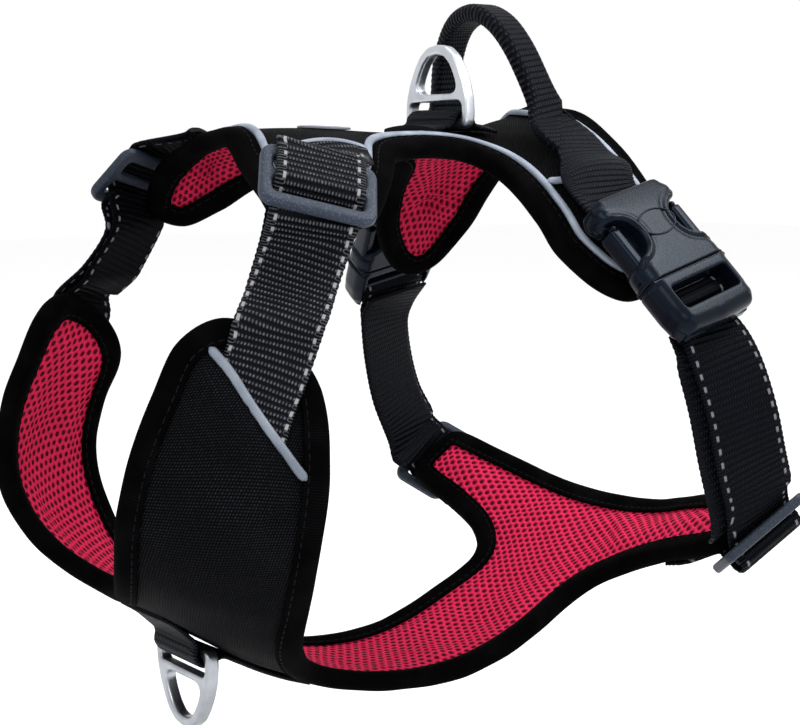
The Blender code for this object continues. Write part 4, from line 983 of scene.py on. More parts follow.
# ---------------------------------------------------------------- panels
class Panel:
    """A padded panel: points on its flat cut, in rings along the edge and a close net inside
    them, with its creases. Depths are those of the rings; the creases and waves are tables."""

    def __init__(self, drape, edge, depths, creases, lining_creases, waves, step):
        self.drape, self.depths = drape, depths
        self.creases, self.lining_creases, self.waves = creases, lining_creases, waves
        self.edge = respaced(through(edge, 40, closed=True), 1.2, 1.5, 0.02)
        self.count = len(self.edge)
        rings = self._rings()
        inner = rings[-1]
        flat = np.vstack([inner, net_inside(inner, step)])
        edges = [(i, (i + 1) % self.count) for i in range(self.count)]
        made = delaunay_2d_cdt([tuple(p) for p in flat], edges, [], 1, 1e-4)
        within = np.array([tuple(p) for p in made[0]])
        start = self.count * (len(rings) - 1)
        self.cut = np.vstack(rings[:-1] + [within])
        self.ring_index = [np.arange(self.count) + self.count * k for k in range(len(rings) - 1)]
        self.ring_index.append(start + distances(inner, within).argmin(axis=1))
        faces = []
        for outer, next_in in zip(self.ring_index[:-1], self.ring_index[1:]):
            a, b = outer, np.roll(outer, -1)
            c, d = np.roll(next_in, -1), next_in
            faces.append(np.column_stack([a, b, c]))
            faces.append(np.column_stack([a, c, d]))
        faces.append(np.array(made[2]) + start)
        faces = np.vstack(faces)
        area = doubled_areas(self.cut, faces)
        faces, area = faces[np.abs(area) > 1e-6], area[np.abs(area) > 1e-6]
        turned = area * drape.outward < 0
        faces[turned] = faces[turned][:, [0, 2, 1]]
        self.faces = faces
        self.points, self.normals = drape.at(self.cut), drape.normals(self.cut)
        self.edge_points, self.edge_normals = drape.at(self.edge), drape.normals(self.edge)
        self.depth = self.depth_of(self.cut)

    def _rings(self, stride=0.4):
        """Lines inside the edge, moved in by small strides, evenly spaced in tight turns."""
        turn = np.sign(enclosed_area(self.edge))
        current, reached, rings = self.edge.copy(), 0.0, []
        spacing = np.linalg.norm(np.roll(current, -1, axis=0) - current, axis=1)
        for depth in self.depths:
            count = max(1, math.ceil((depth - reached) / stride))
            for _ in range(count):
                after, before = neighbours(current)
                tangent = unit(unit(after - current) + unit(current - before))
                inward = self.drape.inward(current, tangent, turn)
                current = current + inward * (depth - reached) / count
                after, before = neighbours(current)
                tight = np.clip(1.15 - np.linalg.norm(after - current, axis=1) / spacing, 0, 1)
                tight = np.maximum(tight, np.roll(tight, 1))
                middle = 0.5 * (after + before)
                slide = ((middle - current) * tangent).sum(1)[:, None] * tangent
                current = current + 0.5 * tight[:, None] * slide
            reached = depth
            rings.append(current.copy())
        return rings

    def depth_of(self, cut):
        """Distance from the edge on the worn cloth, in mm, near enough for soft shapes."""
        return clearance(self.drape.at(cut), self.drape.at(self.edge))

    def relief(self, cut, creases):
        """Creases and soft waves: mm over the smooth panel."""
        high = np.zeros(len(cut))
        for a0, b0, a1, b1, width, height in creases:
            start, span = np.array([a0, b0]), np.array([a1 - a0, b1 - b0])
            t = (cut - start) @ span / (span @ span)
            away = np.abs((cut - start) @ np.array([-span[1], span[0]])) / np.linalg.norm(span)
            fade = np.clip(1 - np.abs(2 * t - 1) ** 3, 0, 1)
            high += height * fade * np.exp(-(away / width) ** 2)
        for pitch_a, pitch_b, phase, height in self.waves:
            high += height * np.sin(2 * math.pi * (cut[:, 0] / pitch_a + cut[:, 1] / pitch_b)
                                    + phase)
        return high

    def sheet(self, name, low, high, finish, **facts):
        """A closed sheet of cloth between two heights at each of the panel's points."""
        used, order = np.unique(self.faces, return_inverse=True)
        faces = order.reshape(self.faces.shape)
        points, normals = self.points[used], self.normals[used]
        cloth = self.cut[used]
        under = points + normals * low(used)[:, None]
        over = points + normals * high(used)[:, None]
        shift, rim = len(used), boundary(faces)
        sides = [(a, b, b + shift, a + shift) for a, b in rim]
        all_faces = (faces + shift).tolist() + faces[:, ::-1].tolist() + sides
        corners = [cloth[faces.ravel()], cloth[faces[:, ::-1].ravel()]]
        corners += [cloth[[a, b, b, a]] for a, b in rim]
        return add_piece(name, np.vstack([under, over]), all_faces, finish, np.vstack(corners),
                         **facts)

    def lines(self, profile):
        """The lines of a band along the edge. Profile rows are (depth from the edge, height)."""
        points = np.stack([self.edge_points] + [self.points[k] for k in self.ring_index])
        normals = np.stack([self.edge_normals] + [self.normals[k] for k in self.ring_index])
        levels, place = np.array((0.0,) + self.depths), np.arange(self.count)
        made = []
        for depth, height in profile:
            depth = np.broadcast_to(depth, (self.count,))
            height = np.broadcast_to(height, (self.count,))[:, None]
            ring = np.clip(np.searchsorted(levels, depth, "right") - 1, 0, len(levels) - 2)
            share = ((depth - levels[ring]) / (levels[ring + 1] - levels[ring]))[:, None]
            near, far = (points[k, place] + normals[k, place] * height for k in (ring, ring + 1))
            made.append((1 - share) * near + share * far)
        return made

    def flat_area(self):
        """Area of the flat cut in square metres."""
        return abs(enclosed_area(self.edge)) * 1e-6


def edge_loop(name, columns, place, finish, **facts):
    """A band that runs all round a panel. Place is the distance along the edge."""
    steps = [np.linalg.norm(a - b, axis=1).mean() for a, b in zip(columns, columns[1:])]
    around = np.r_[0, np.cumsum(steps)]
    return band(name, columns, np.r_[around, around[-1]], place, finish, closed=True, **facts)


def edge_band(name, panel, finish, waves, **facts):
    """Binding tape folded over the edge, a little uneven, pulled in along its seams."""
    place = lengths(panel.edge_points, True)
    spot = place[:-1] * (2 * math.pi / place[-1])
    puff = sum(high * np.sin(turns * spot + phase) for turns, high, phase in waves)
    pucker = 0.10 * np.sin(2 * math.pi * place[:-1] / 3.0)
    out, wall, reach = PANEL_HALF + BINDING_WALL, PANEL_HALF, BINDING_WIDTH
    seam = reach - SEAM_IN
    over = [(reach, wall), (reach + 0.05, out - 0.45), (reach - 0.35, out - 0.05 + 0.5 * pucker),
            (seam, out - 0.22 + pucker), (seam - 1.2, out + 0.05 + 0.4 * puff),
            (3.6, out + 0.22 + puff), (2.2, out + 0.12 + puff), (1.1, out - 0.35 + puff),
            (0.35, out - 1.15 + 0.6 * puff)]
    under = [(depth, -high) for depth, high in over[::-1]]
    inner = [(LAYER_INSET - GAP, -wall), (LAYER_INSET - GAP, wall)]
    profile = over + [(-0.05 - 0.5 * puff, 0.0)] + under + inner
    return edge_loop(name, panel.lines(profile), place, finish, **facts)


def piping_band(name, panel, finish, **facts):
    """The cord in its cloth along the binding's inner edge, round on top."""
    start, width = BINDING_WIDTH + 0.45, PIPING_WIDTH
    low, high = SHELL_HIGH + 0.35, PIPING_HIGH
    middle, rise = start + width / 2, high - low
    place = lengths(panel.edge_points, True)
    sway = 0.16 * np.sin(place[:-1] / 9.0) + 0.10 * np.sin(place[:-1] / 3.7 + 1.0)
    profile = [(start, low)]
    for turn in range(9):
        angle = math.pi * turn / 8
        profile.append((middle - 0.5 * width * math.cos(angle) + sway * math.sin(angle),
                        low + 0.35 * rise + 0.65 * rise * math.sin(angle)))
    profile.append((start + width, low))
    return edge_loop(name, panel.lines(profile), place, finish, **facts)


def fine_cord(name, panel, line, size, finish, **facts):
    """Piping along a seam inside the panel, from one edge tape to the other."""
    drape, low, high = panel.drape, size["low"], size["high"]
    line = through(np.array(line, float), 40)
    line = line[panel.depth_of(line) > size["clear"] - CORD_UNDER]
    place = lengths(drape.at(line))
    wanted = np.linspace(0, place[-1], int(place[-1] / CORD_STEP) + 1)
    line = sampled(line, place, wanted)
    points, normals = drape.at(line), drape.normals(line)
    along = unit(np.gradient(points, axis=0))
    across = unit(np.cross(normals, along))
    ends = np.minimum(wanted, wanted[-1] - wanted)
    shrink = np.sqrt(np.clip(ends / CORD_TIP, 0.04, 1.0))
    half, rise = size["width"] / 2 + 0.1, high - low
    columns = []
    for turn in range(12):
        angle = 2 * math.pi * turn / 12
        side = half * math.cos(angle) * shrink
        level = low + rise * 0.5 + rise * 0.5 * math.sin(angle) * shrink
        columns.append(points + across * side[:, None] + normals * level[:, None])
    around = np.linspace(0, 2 * math.pi * half, 13)
    return band(name, columns, around, wanted, finish, **facts)


# ---------------------------------------------------------------- moulded and stamped pieces
def eased_loop(loop, step=0.4, reach=0.9):
    """A closed outline with a point every step and its corners rounded over about the reach."""
    place = lengths(loop, True)
    count = int(place[-1] / step)
    wanted = np.arange(count) * place[-1] / count
    fine = sampled(np.vstack([loop, loop[:1]]), place, wanted)
    turns = int(reach / step)
    for _ in range(2):
        fine = sum(np.roll(fine, k, axis=0) for k in range(-turns, turns + 1)) / (2 * turns + 1)
    return fine


def rounded_rings(rim, normals, radii):
    """Points beside an outline, where its rounded rim bends."""
    rings = []
    for share in RIM_SHARES:
        spots = rim + normals * (radii * share)[:, None]
        clear = distances(spots, rim).min(axis=1)
        rings.append(spots[clear > 0.93 * radii * share])
    return np.vstack(rings)


def net_between(loops, taken, step):
    """A net inside the first outline and outside the holes, clear of the points taken."""
    rim = np.vstack(loops)
    low, high = rim.min(axis=0), rim.max(axis=0)
    across, along = np.meshgrid(np.arange(low[0], high[0], step),
                                np.arange(low[1], high[1], step * 0.87))
    across[1::2] += step / 2
    net = np.column_stack([across.ravel(), along.ravel()])
    net = net[inside(net, loops[0])]
    for loop in loops[1:]:
        net = net[~inside(net, loop)]
    return net[distances(net, taken).min(axis=1) > NET_CLEAR * step]


def flat_mesh(loops, points):
    """Triangles through the outlines' points and the others after them, with the holes open."""
    sizes = np.r_[0, np.cumsum([len(loop) for loop in loops])]
    edges = [(int(start + k), int(start + (k + 1) % len(loop)))
             for start, loop in zip(sizes, loops) for k in range(len(loop))]
    made = delaunay_2d_cdt([tuple(p) for p in points], edges, [], 1, 1e-5)
    flat = np.array([tuple(p) for p in made[0]])
    faces = np.array(made[2])
    middle = flat[faces].mean(axis=1)
    for loop in loops[1:]:
        keep = ~inside(middle, loop)
        faces, middle = faces[keep], middle[keep]
    turned = doubled_areas(flat, faces) < 0
    faces[turned] = faces[turned][:, ::-1]
    return flat, faces


def dome(at, loops, base, top, radius, relief=None, step=0.7):
    """One side of a moulded piece: a flat underside at the base, and a top whose rims are rounded
    by as much as the radius says for each place on an outline."""
    normals, radii = [], []
    for loop in loops:
        after, before = neighbours(loop)
        ahead = unit(after - before)
        normals.append(np.column_stack([-ahead[:, 1], ahead[:, 0]]))
        wide = np.array([radius(x, y) for x, y in loop], float)
        radii.append(sum(np.roll(wide, k) for k in range(-3, 4)) / 7)
    rim, radii = np.vstack(loops), np.concatenate(radii)
    taken = np.vstack([rim, rounded_rings(rim, np.vstack(normals), radii)])
    flat, faces = flat_mesh(loops, np.vstack([taken, net_between(loops, taken, step)]))
    share = distances(flat, rim) / radii[None]
    tall = np.minimum(radii, abs(top - base))[None]
    drop = tall * (1 - np.sqrt(1 - (1 - np.minimum(share, 1)) ** 2))
    level = abs(top - base) - drop.max(axis=1)
    if relief is not None:
        level = level + relief(flat[:, 0], flat[:, 1])
    level = base + np.sign(top - base) * np.maximum(level, 0.02)
    count = len(flat)
    points = np.vstack([at.at(flat[:, 0], flat[:, 1], level),
                        at.at(flat[:, 0], flat[:, 1], np.full(count, float(base)))])
    walls = [[a, a + count, b + count, b] for a, b in boundary(faces)]
    solid = faces.tolist() + (faces[:, ::-1] + count).tolist() + walls
    if (top < base) == (np.linalg.det(np.stack([at.across, at.along, at.out])) > 0):
        solid = [face[::-1] for face in solid]
    return points, solid


def both_sides(at, loops, half, radius, relief=None, step=0.7):
    """Both halves of a moulded piece, with the relief on its outer side."""
    return [dome(at, loops, 0.0, half, radius, relief, step),
            dome(at, loops, 0.0, -half, radius, None, step)]


def even(radius):
    """The same rounding all round."""
    return lambda x, y: radius


def slab(at, middle, width, length, half, radius):
    """A small rounded bar: the middle is across, along and out."""
    across, along, out = middle
    spot = Frame(at.middle + at.out * out, at.across, at.along)
    spot.out = at.out
    loop = rounded_box(width, -length / 2, length / 2, min(0.8, width / 3, length / 3), 3)
    loop = eased_loop(loop + (across, along), 0.35, 0.35)
    return both_sides(spot, [loop], half, even(radius), None, 0.8)


def tube_loop(points, out, radius):
    """A thin raised line along a closed line of points."""
    sides = 8
    after, before = neighbours(points)
    side = unit(np.cross(unit(after - before), out))
    count, made, faces = len(points), [], []
    for k in range(sides):
        angle = 2 * math.pi * k / sides
        made.append(points + radius * (math.cos(angle) * side + math.sin(angle) * out))
    for k in range(sides):
        m = (k + 1) % sides
        faces += [[k * count + i, k * count + (i + 1) % count, m * count + (i + 1) % count,
                   m * count + i] for i in range(count)]
    made = np.vstack(made)
    if signed_volume(made, faces) < 0:
        faces = [face[::-1] for face in faces]
    return made, faces


def joined(name, parts, finish, **facts):
    """One piece from parts that are each points and faces."""
    points, faces, total = [], [], 0
    for spots, some in parts:
        points.append(spots)
        faces += [[int(k) + total for k in face] for face in some]
        total += len(spots)
    return add_piece(name, np.vstack(points), faces, finish, **facts)


# the socket's two plates are cut back further than its core, so the prongs show
SOCKET_PLATE_HALF = ((0.0, 0.0), (12.4, 0.0), (15.4, 1.2), (17.0, 3.6), (17.2, 6.2), (15.6, 8.0),
                     (12.0, 9.0), (9.2, 10.8), (8.0, 13.6), (7.9, 16.6), (8.8, 19.4), (11.0, 21.4),
                     (14.4, 22.8), (16.8, 24.2), (17.2, 26.2), (17.2, 30.6), (0.0, 30.6))
PLUG_LEGS_HALF = ((0.0, 31.4), (17.2, 31.4), (17.2, 41.0), (16.4, 46.2), (14.8, 48.6),
                  (13.9, 48.6), (13.9, 41.1), (12.9, 41.1), (12.9, 34.6), (0.0, 34.6))
CORE_HALF = 1.5
PLUG_WINDOW = (25.8, 34.6, 42.6, 1.0)
# small bars inside: middle across, along and out, width, length, half thickness, rounding
SOCKET_MOUTH = ((0, 31.0, 0), 33.0, 1.6, 4.4, 0.3)
PLUG_FLOOR = ((0, 45.4, -1.45), 28.2, 8.4, 1.45, 0.3)
PLUG_BAR = ((0, 38.8, -3.4), 27.4, 1.6, 1.7, 0.5)
OVAL = dict(across=0.3, along=14.2, wide=7.5, long=4.4, line=0.32, points=72)


def socket_rim(_, y):
    """How far the socket's rim is rounded: little where it meets the webbing and the plug."""
    if y < 0.9:
        return 1.0
    if y > 30.2:
        return 0.35
    if 8.2 < y < 23.4:
        return 0.9
    return 3.4 if y < 9 else 4.4


def socket_relief(x, y):
    """A lip along each cut-back side, and plates that thin towards the webbing's entry."""
    edge = np.array(SOCKET_PLATE_HALF[5:14], float)
    line = through(edge, 12)
    spots = np.column_stack([np.abs(x), y])
    away = distances(spots, line).min(axis=1)
    lip = 0.45 * np.exp(-((away - 1.1) / 0.6) ** 2)
    thin = 1.2 * np.clip(1 - y / 9, 0, 1) ** 1.5
    return lip - thin - 0.25 * np.exp(-((away - 2.6) / 0.7) ** 2)


def plug_rim(x, y):
    """How far the plug's rims are rounded: little at the socket and in the window."""
    if y < 31.8:
        return 0.35
    if abs(x) < 13.4 and y < 44:
        return 0.7
    return 4.4 if y < 45 else 3.8


def buckle_pieces(finishes):
    """Fastened side-release buckles: the prongs show where the socket is cut back."""
    plastic = finishes["buckle"]
    half = BUCKLE_THICK / 2
    plates = eased_loop(whole(SOCKET_PLATE_HALF))
    core = eased_loop(whole(SOCKET_HALF))
    body = eased_loop(whole(PLUG_HALF))
    legs = eased_loop(whole(PLUG_LEGS_HALF), 0.4, 0.4)
    window = eased_loop(rounded_box(*PLUG_WINDOW), 0.4, 0.4)[::-1]
    near, far, deep = PRONG
    for side, at in (("left", Frame(*BUCKLE_AT)), ("right", Frame(*BUCKLE_AT).mirrored())):
        socket = both_sides(at, [plates], half, socket_rim, socket_relief)
        socket += both_sides(at, [core], CORE_HALF, even(0.4))
        socket += slab(at, *SOCKET_MOUTH)
        turn = np.linspace(0, 2 * math.pi, OVAL["points"], endpoint=False)
        oval = at.at(OVAL["across"] + OVAL["wide"] * np.cos(turn),
                     OVAL["along"] + OVAL["long"] * np.sin(turn),
                     np.full(OVAL["points"], half + 0.02))
        socket.append(tube_loop(oval, at.out, OVAL["line"]))
        joined(f"{side}_buckle_socket_body", socket, plastic,
               stands_for=(f"{side}_buckle_socket",), slot="buckle_plastic")
        plug = [dome(at, [body, window], 0.0, half, plug_rim),
                dome(at, [legs], 0.0, -half, lambda x, y: 0.5 if abs(x) < 14.5 else 3.4)]
        plug += slab(at, *PLUG_FLOOR) + slab(at, *PLUG_BAR)
        for hand in (1, -1):
            plug += slab(at, (hand * (near + far + 0.8) / 2, 21.5, 0), far - near + 0.8, 22.5,
                         deep, 1.5)
            plug += slab(at, (hand * (near + 1.9), 9.9, 2.2), 2.0, 2.0, 1.3, 0.8)
        joined(f"{side}_buckle_plug_body", plug, plastic,
               stands_for=(f"{side}_buckle_plug",), slot="buckle_plastic")


def slider_pieces(finishes):
    """The near neck slider is the palest, as it takes the most light."""
    size = SLIDER
    outer = eased_loop(rounded_box(size["length"], -size["height"] / 2, size["height"] / 2,
                                   size["corner"], 8), 0.4, 0.4)
    low, high = size["bar"] / 2, size["height"] / 2 - size["rail"]
    width = size["length"] - 2 * size["rail"] + 0.8
    holes = [eased_loop(rounded_box(width, a, b, 1.0), 0.4, 0.4)[::-1]
             for a, b in ((low, high), (-high, -low))]
    for kind, place, move in (("neck", NECK_SLIDER_AT, RIGHT_SLIDER_MOVE),
                              ("belly", BELLY_SLIDER_AT, (0, 0, 0))):
        frame_at = Frame(*place)
        for side, at in (("left", frame_at), ("right", frame_at.mirrored(move))):
            parts = both_sides(at, [outer] + holes, size["thick"] / 2, even(1.15))
            near = (side, kind) == ("left", "neck")
            joined(f"{side}_{kind}_slider_body", parts, finishes["slider" if near else "slate_painted_shade"],
                   stands_for=(f"{side}_{kind}_slider",), slot="slider_plastic")


def ring_pieces(bar, finishes):
    """Both leash rings. Bar is the middle of the chest ring's bar."""
    outer = eased_loop(whole(RING_HALF), 0.4, 1.2)
    holes = [eased_loop(whole(RING_HOLE_HALF), 0.4, 0.8)[::-1],
             eased_loop(rounded_box(RING["slot"], RING["slot_low"], RING["slot_high"], 1.6),
                        0.4, 0.4)[::-1]]
    for name, at in (("back_ring", Frame(BACK_RING_AT, (1, 0, 0), (0, 0, 1))),
                     ("chest_ring", Frame(bar, (-1, 0, 0), (0, 0, -1)))):
        parts = both_sides(at, [outer] + holes, RING["thick"] / 2, even(1.0))
        joined(f"{name}_metal", parts, finishes[name], stands_for=(name,), body=name,
               slot="aluminium")


# the badge's section from its rim to its middle: share of its size, height
BADGE_RINGS = ((1.0, 0.1), (1.0, 0.55), (0.96, 0.75), (0.90, 0.8), (0.66, 0.8), (0.62, 1.05),
               (0.56, 1.2), (0.30, 1.25), (0.0, 1.25))


def badge_piece(back, finishes):
    """A plain oval patch: a flat rim round a raised, paler middle."""
    rings, count = BADGE_RINGS, BADGE["points"]
    turn = np.linspace(0, 2 * math.pi, count, endpoint=False)
    cut = np.column_stack([np.cos(turn) * BADGE["width"] / 2, np.sin(turn) * BADGE["length"] / 2])
    points, corners, faces = [], [], []
    for share, height in rings:
        spots = cut * share + (0, BADGE["middle"])
        normals = back.drape.normals(spots)
        points.append(back.drape.at(spots) + normals * (SHELL_HIGH + BADGE["clear"] + height))
    for k in range(len(rings) - 1):
        for i in range(count):
            j = (i + 1) % count
            faces.append([k * count + i, k * count + j, (k + 1) * count + j, (k + 1) * count + i])
            corners += [(rings[q][0] * 10, 0) for q in (k, k, k + 1, k + 1)]
    points = np.vstack(points)
    faces.append(list(range(count - 1, -1, -1)))
    corners += [(10, 0)] * count
    if signed_volume(points, faces[:-1]) < 0:
        faces = [face[::-1] for face in faces]
    add_piece("back_badge_patch", points, faces, finishes["patch"], corners,
              stands_for=("back_badge",), slot="badge_plastic")


# ---------------------------------------------------------------- creases, flat cut, mm
BACK_CREASES = (
    # from a b   to a b    width height
    (74, 24,     58, 46,   2.6, -1.1),
    (70, 20,     54, 38,   3.4, 0.7),
    (-74, 26,    -52, 44,  2.4, -1.5),
    (-78, 33,    -56, 51,  3.0, 0.9),
    (-66, 18,    -50, 36,  3.6, 0.6),
    (-58, -80,   -44, -58, 2.4, -1.3),
    (-52, -84,   -38, -60, 3.2, 0.8),
    (56, -82,    42, -58,  2.8, -1.0),
    (-12, 20,    16, 30,   5.0, 0.5),
    (-18, 34,    20, 40,   4.0, -0.6),
    (22, -30,    34, -64,  3.4, -0.7),
    (-22, -30,   -34, -66, 3.0, -0.6),
)
# on the mesh a positive height stands out towards the dog
BACK_LINING_CREASES = (
    (-54, 16,    -46, 50,  1.5, 1.3),
    (-58, 19,    -50, 51,  1.4, -1.2),
    (-61, 22,    -54, 50,  1.9, 0.9),
    (-66, 30,    -60, 48,  2.4, -0.6),
    (-45, -73,   -32, -51, 1.4, 1.2),
    (-48, -71,   -36, -48, 1.5, -1.1),
    (-52, -74,   -41, -54, 2.2, 0.6),
    (56, 17,     50, 47,   1.8, 1.1),
    (61, 20,     54, 49,   1.8, -1.0),
    (46, -72,    34, -54,  1.7, -0.9),
    (-10, -40,   12, -34,  3.6, 0.8),
    (-14, 22,    16, 16,   3.8, -0.8),
)
FRONT_CREASES = (
    (62, -20,    92, -34,  4.0, -0.8),
    (58, -2,     84, -12,  5.0, 0.6),
    (30, 14,     66, 10,   6.0, -0.7),
    (-62, -24,   -93, -30, 3.4, -0.9),
    (-56, -4,    -86, -16, 4.6, 0.6),
    (-36, 12,    -70, 16,  5.0, -0.7),
    (-14, 60,    22, 74,   6.0, -0.8),
    (-22, 98,    20, 92,   7.0, 0.6),
    (-20, 134,   24, 142,  5.0, -0.7),
    (-40, 186,   -12, 210, 4.6, -0.8),
    (40, 190,    18, 212,  4.2, -0.7),
    (-10, 160,   14, 196,  6.0, 0.7),
)
FRONT_LINING_CREASES = (
    (-62, 20,    -92, 34,  4.0, 0.8),
    (-30, -14,   -66, -10, 5.0, 0.7),
    (62, -24,    90, -36,  2.6, -1.0),
    (60, -8,     86, -18,  3.0, 0.9),
    (36, 14,     68, 8,    3.6, -0.8),
    (24, 52,     -16, 66,  4.0, 0.8),
    (22, 88,     -20, 98,  4.4, -0.8),
    (20, 118,    -22, 128, 3.8, 0.9),
    (24, 146,    -18, 150, 3.6, -0.7),
    (36, 188,    14, 210,  3.0, 0.9),
    (-42, 186,   -16, 208, 3.2, -0.8),
)
# soft waves on the flat cut: pitch along a and b, phase, height
BACK_WAVES = ((37, 61, 0.4, 0.25), (-29, 44, 2.0, 0.18), (19, -23, 1.1, 0.10))
FRONT_WAVES = ((43, 57, 0.9, 0.30), (-31, 39, 2.6, 0.22), (17, -27, 0.3, 0.10))
# unevenness of the edge tape: waves all round, height, phase
BACK_TAPE_WAVES = ((5, 0.10, 0.4), (11, 0.08, 1.9), (23, 0.07, 0.2), (37, 0.05, 2.2))
FRONT_TAPE_WAVES = ((7, 0.10, 0.9), (17, 0.09, 0.3), (41, 0.07, 1.2), (67, 0.05, 0.7))
POCKET_RISE = 2.2         # the pocket cloth stands over the webbing that goes into it
POCKET_FADE = 17.0
# the handle's fold: distance before its narrow part, and where its flap ends across the webbing
FOLD_ENDS = ((-20.2, -1.0), (-18.0, -0.6), (-15.7, -0.37), (-13.5, -0.22), (-11.2, -0.07),
             (-9.0, 0.05), (-6.7, 0.23), (-4.5, 0.46), (-2.2, 0.70), (0.0, 1.0), (2.0, 1.15))
NARROW = 12.8             # width at which the fold is closed
PINCH = (0.5, 5.8, 8.0)   # pull on one edge where the fold begins: share, reach after and before
# into the pocket: place on the flat cut, height over it at the left edge, middle and right edge
INTO_POCKET = (
    (90.3, -59.0, 4.6, 4.6, 4.8),
    (86.0, -51.8, 3.2, 4.2, 4.6),
    (80.5, -43.2, 1.5, 3.3, 4.4),
    (75.0, -34.4, 1.2, 1.9, 3.8),
    (70.0, -26.5, 1.0, 1.4, 2.2),
)
INTO_POCKET_RUN = (-0.54, 0.84, 0.84, 0.54)
INNER_END = 0.8           # how far the inner neck layer goes on from its table to the pocket


def pocket_bulge(cut):
    """How far the pocket's cloth is lifted by the webbing inside it, near its slanted edge."""
    high = np.zeros(len(cut))
    line = through(np.array(POCKET_EDGE, float), 20)
    ahead = unit(np.gradient(line, axis=0))
    for side in (1, -1):
        spots = cut * (side, 1)
        away = distances(spots, line)
        near = away.argmin(axis=1)
        offset = spots - line[near]
        sign = ahead[near, 0] * offset[:, 1] - ahead[near, 1] * offset[:, 0]
        distance = away[np.arange(len(cut)), near] * np.sign(sign)
        past = distance > -1.0
        rise = np.clip((distance + 1.0) / 2.0, 0, 1) * np.exp(-(np.maximum(distance, 0)
                                                                / POCKET_FADE) ** 2)
        reach = (near > 0) & (near < len(line) - 1)
        high += np.where(past & reach, POCKET_RISE * rise, 0)
    return high


def panel_pieces(name, panel, finishes, waves):
    """Outer cloth, mesh lining, edge tape and its seams. Waves are the tape's own unevenness."""
    def bulge(used):
        if name != "front":
            return np.zeros(len(used))
        return pocket_bulge(panel.cut[used]) * np.clip((panel.depth[used] - BINDING_WIDTH) / 5,
                                                       0, 1)

    def held_down(used):
        return np.clip((panel.depth[used] - BINDING_WIDTH + 1.0) / 6.0, 0, 1)

    def shell_high(used):
        relief = panel.relief(panel.cut[used], panel.creases)
        return SHELL_HIGH + relief * held_down(used) * CREASE_SHARE + bulge(used)

    def shell_low(used):
        return shell_high(used) - (SHELL_HIGH - SHELL_LOW)

    def lining_low(used):
        rise = np.clip((panel.depth[used] - BINDING_WIDTH) / 8, 0, 1)
        puff = LINING_LOW - LINING_PUFF * rise * rise * (3 - 2 * rise)
        return puff - panel.relief(panel.cut[used], panel.lining_creases) * held_down(used)

    def lining_high(used):
        return np.maximum(np.minimum(shell_low(used) - GAP, LINING_HIGH),
                          lining_low(used) + LAYER_LEAST)

    shell = panel.sheet(f"{name}_outer_cloth", shell_low, shell_high, finishes["oxford"],
                        stands_for=(f"{name}_shell",), slot="oxford")
    lining = panel.sheet(f"{name}_air_mesh", lining_low, lining_high, finishes[f"{name}_mesh"],
                         stands_for=(f"{name}_lining",), slot="air_mesh")
    tape = edge_band(f"{name}_edge_tape", panel, finishes["binding"], waves,
                     stands_for=(f"{name}_binding",), slot="binding")
    out, seam = PANEL_HALF + BINDING_WALL - 0.2, BINDING_WIDTH - SEAM_IN
    seams = []
    for level in (out, -out):
        line, above = panel.lines([(seam, level), (seam, level + np.sign(level))])
        normals = above - line
        seams.append(stitch_line(np.vstack([line, line[:1]]),
                                 np.vstack([normals, normals[:1]])))
    sewn = joined(f"{name}_edge_stitching", seams, finishes["thread"])
    area = panel.flat_area()


def back_pieces(finishes):
    """The back panel with the piping round it and across its arms. Returns the panel."""
    left, right = np.array(BACK_LEFT_EDGE, float), np.array(BACK_RIGHT_EDGE, float)
    middle = np.array(BACK_MIDDLE, float)
    drape = Drape(np.vstack([left, right, middle]), outward=1)
    edge = np.vstack([middle[:1, :2], left[:, :2], middle[6:7, :2], right[::-1, :2]])
    depths = (LAYER_INSET, BINDING_WIDTH + 0.4, BINDING_WIDTH + 3.6)
    panel = Panel(drape, edge, depths, BACK_CREASES, BACK_LINING_CREASES, BACK_WAVES, 2.0)
    panel_pieces("back", panel, finishes, BACK_TAPE_WAVES)
    piping_band("back_edge_piping", panel, finishes["piping"],
                stands_for=("back_piping",), slot="piping")
    for side, sign in SIDES:
        for kind, line in (("front", FRONT_SLIT), ("rear", REAR_SLIT)):
            fine_cord(f"{side}_{kind}_arm_piping", panel, np.array(line) * (sign, 1),
                      SLIT_PIPING, finishes["piping"],
                      stands_for=(f"{side}_{kind}_slit_piping",), slot="piping")
    return panel


def front_pieces(finishes):
    """The chest-and-belly panel with its pocket piping. Returns the panel."""
    left = np.array(FRONT_EDGE, float)
    middle = np.array(FRONT_MIDDLE, float)
    inner = np.array(FRONT_INNER, float)
    rows = np.vstack([left, mirrored(left), middle, inner, mirrored(inner)])
    drape = Drape(rows, outward=-1)
    edge = np.vstack([middle[:1, :2], left[:, :2], middle[-1:, :2], mirrored(left)[::-1, :2]])
    depths = (LAYER_INSET, BINDING_WIDTH + 0.4)
    panel = Panel(drape, edge, depths, FRONT_CREASES, FRONT_LINING_CREASES, FRONT_WAVES, 2.6)
    panel_pieces("front", panel, finishes, FRONT_TAPE_WAVES)
    for side, sign in SIDES:
        fine_cord(f"{side}_pocket_edge_piping", panel, np.array(POCKET_EDGE) * (sign, 1),
                  POCKET_PIPING, finishes["pocket_piping"],
                  stands_for=(f"{side}_pocket_piping",), slot="piping")
    return panel


# ---------------------------------------------------------------- straps
def pocket_rows(front, side):
    """A neck strap's end in its pocket: its edges and middle each lie at their own height."""
    lines = []
    for column in (2, 3, 4):
        flat = [row[:2] + (row[column],) + INTO_POCKET_RUN for row in INTO_POCKET]
        lines.append(on_cloth(front.drape, flat, side))
    rows = np.hstack([lines[0][:, 0:3], lines[1][:, 3:6], lines[2][:, 6:10]])
    for edge in (0, 6):
        away = unit(rows[:, edge:edge + 3] - rows[:, 3:6])
        rows[:, edge:edge + 3] = rows[:, 3:6] + away * WEBBING_WIDTH / 2
    return rows


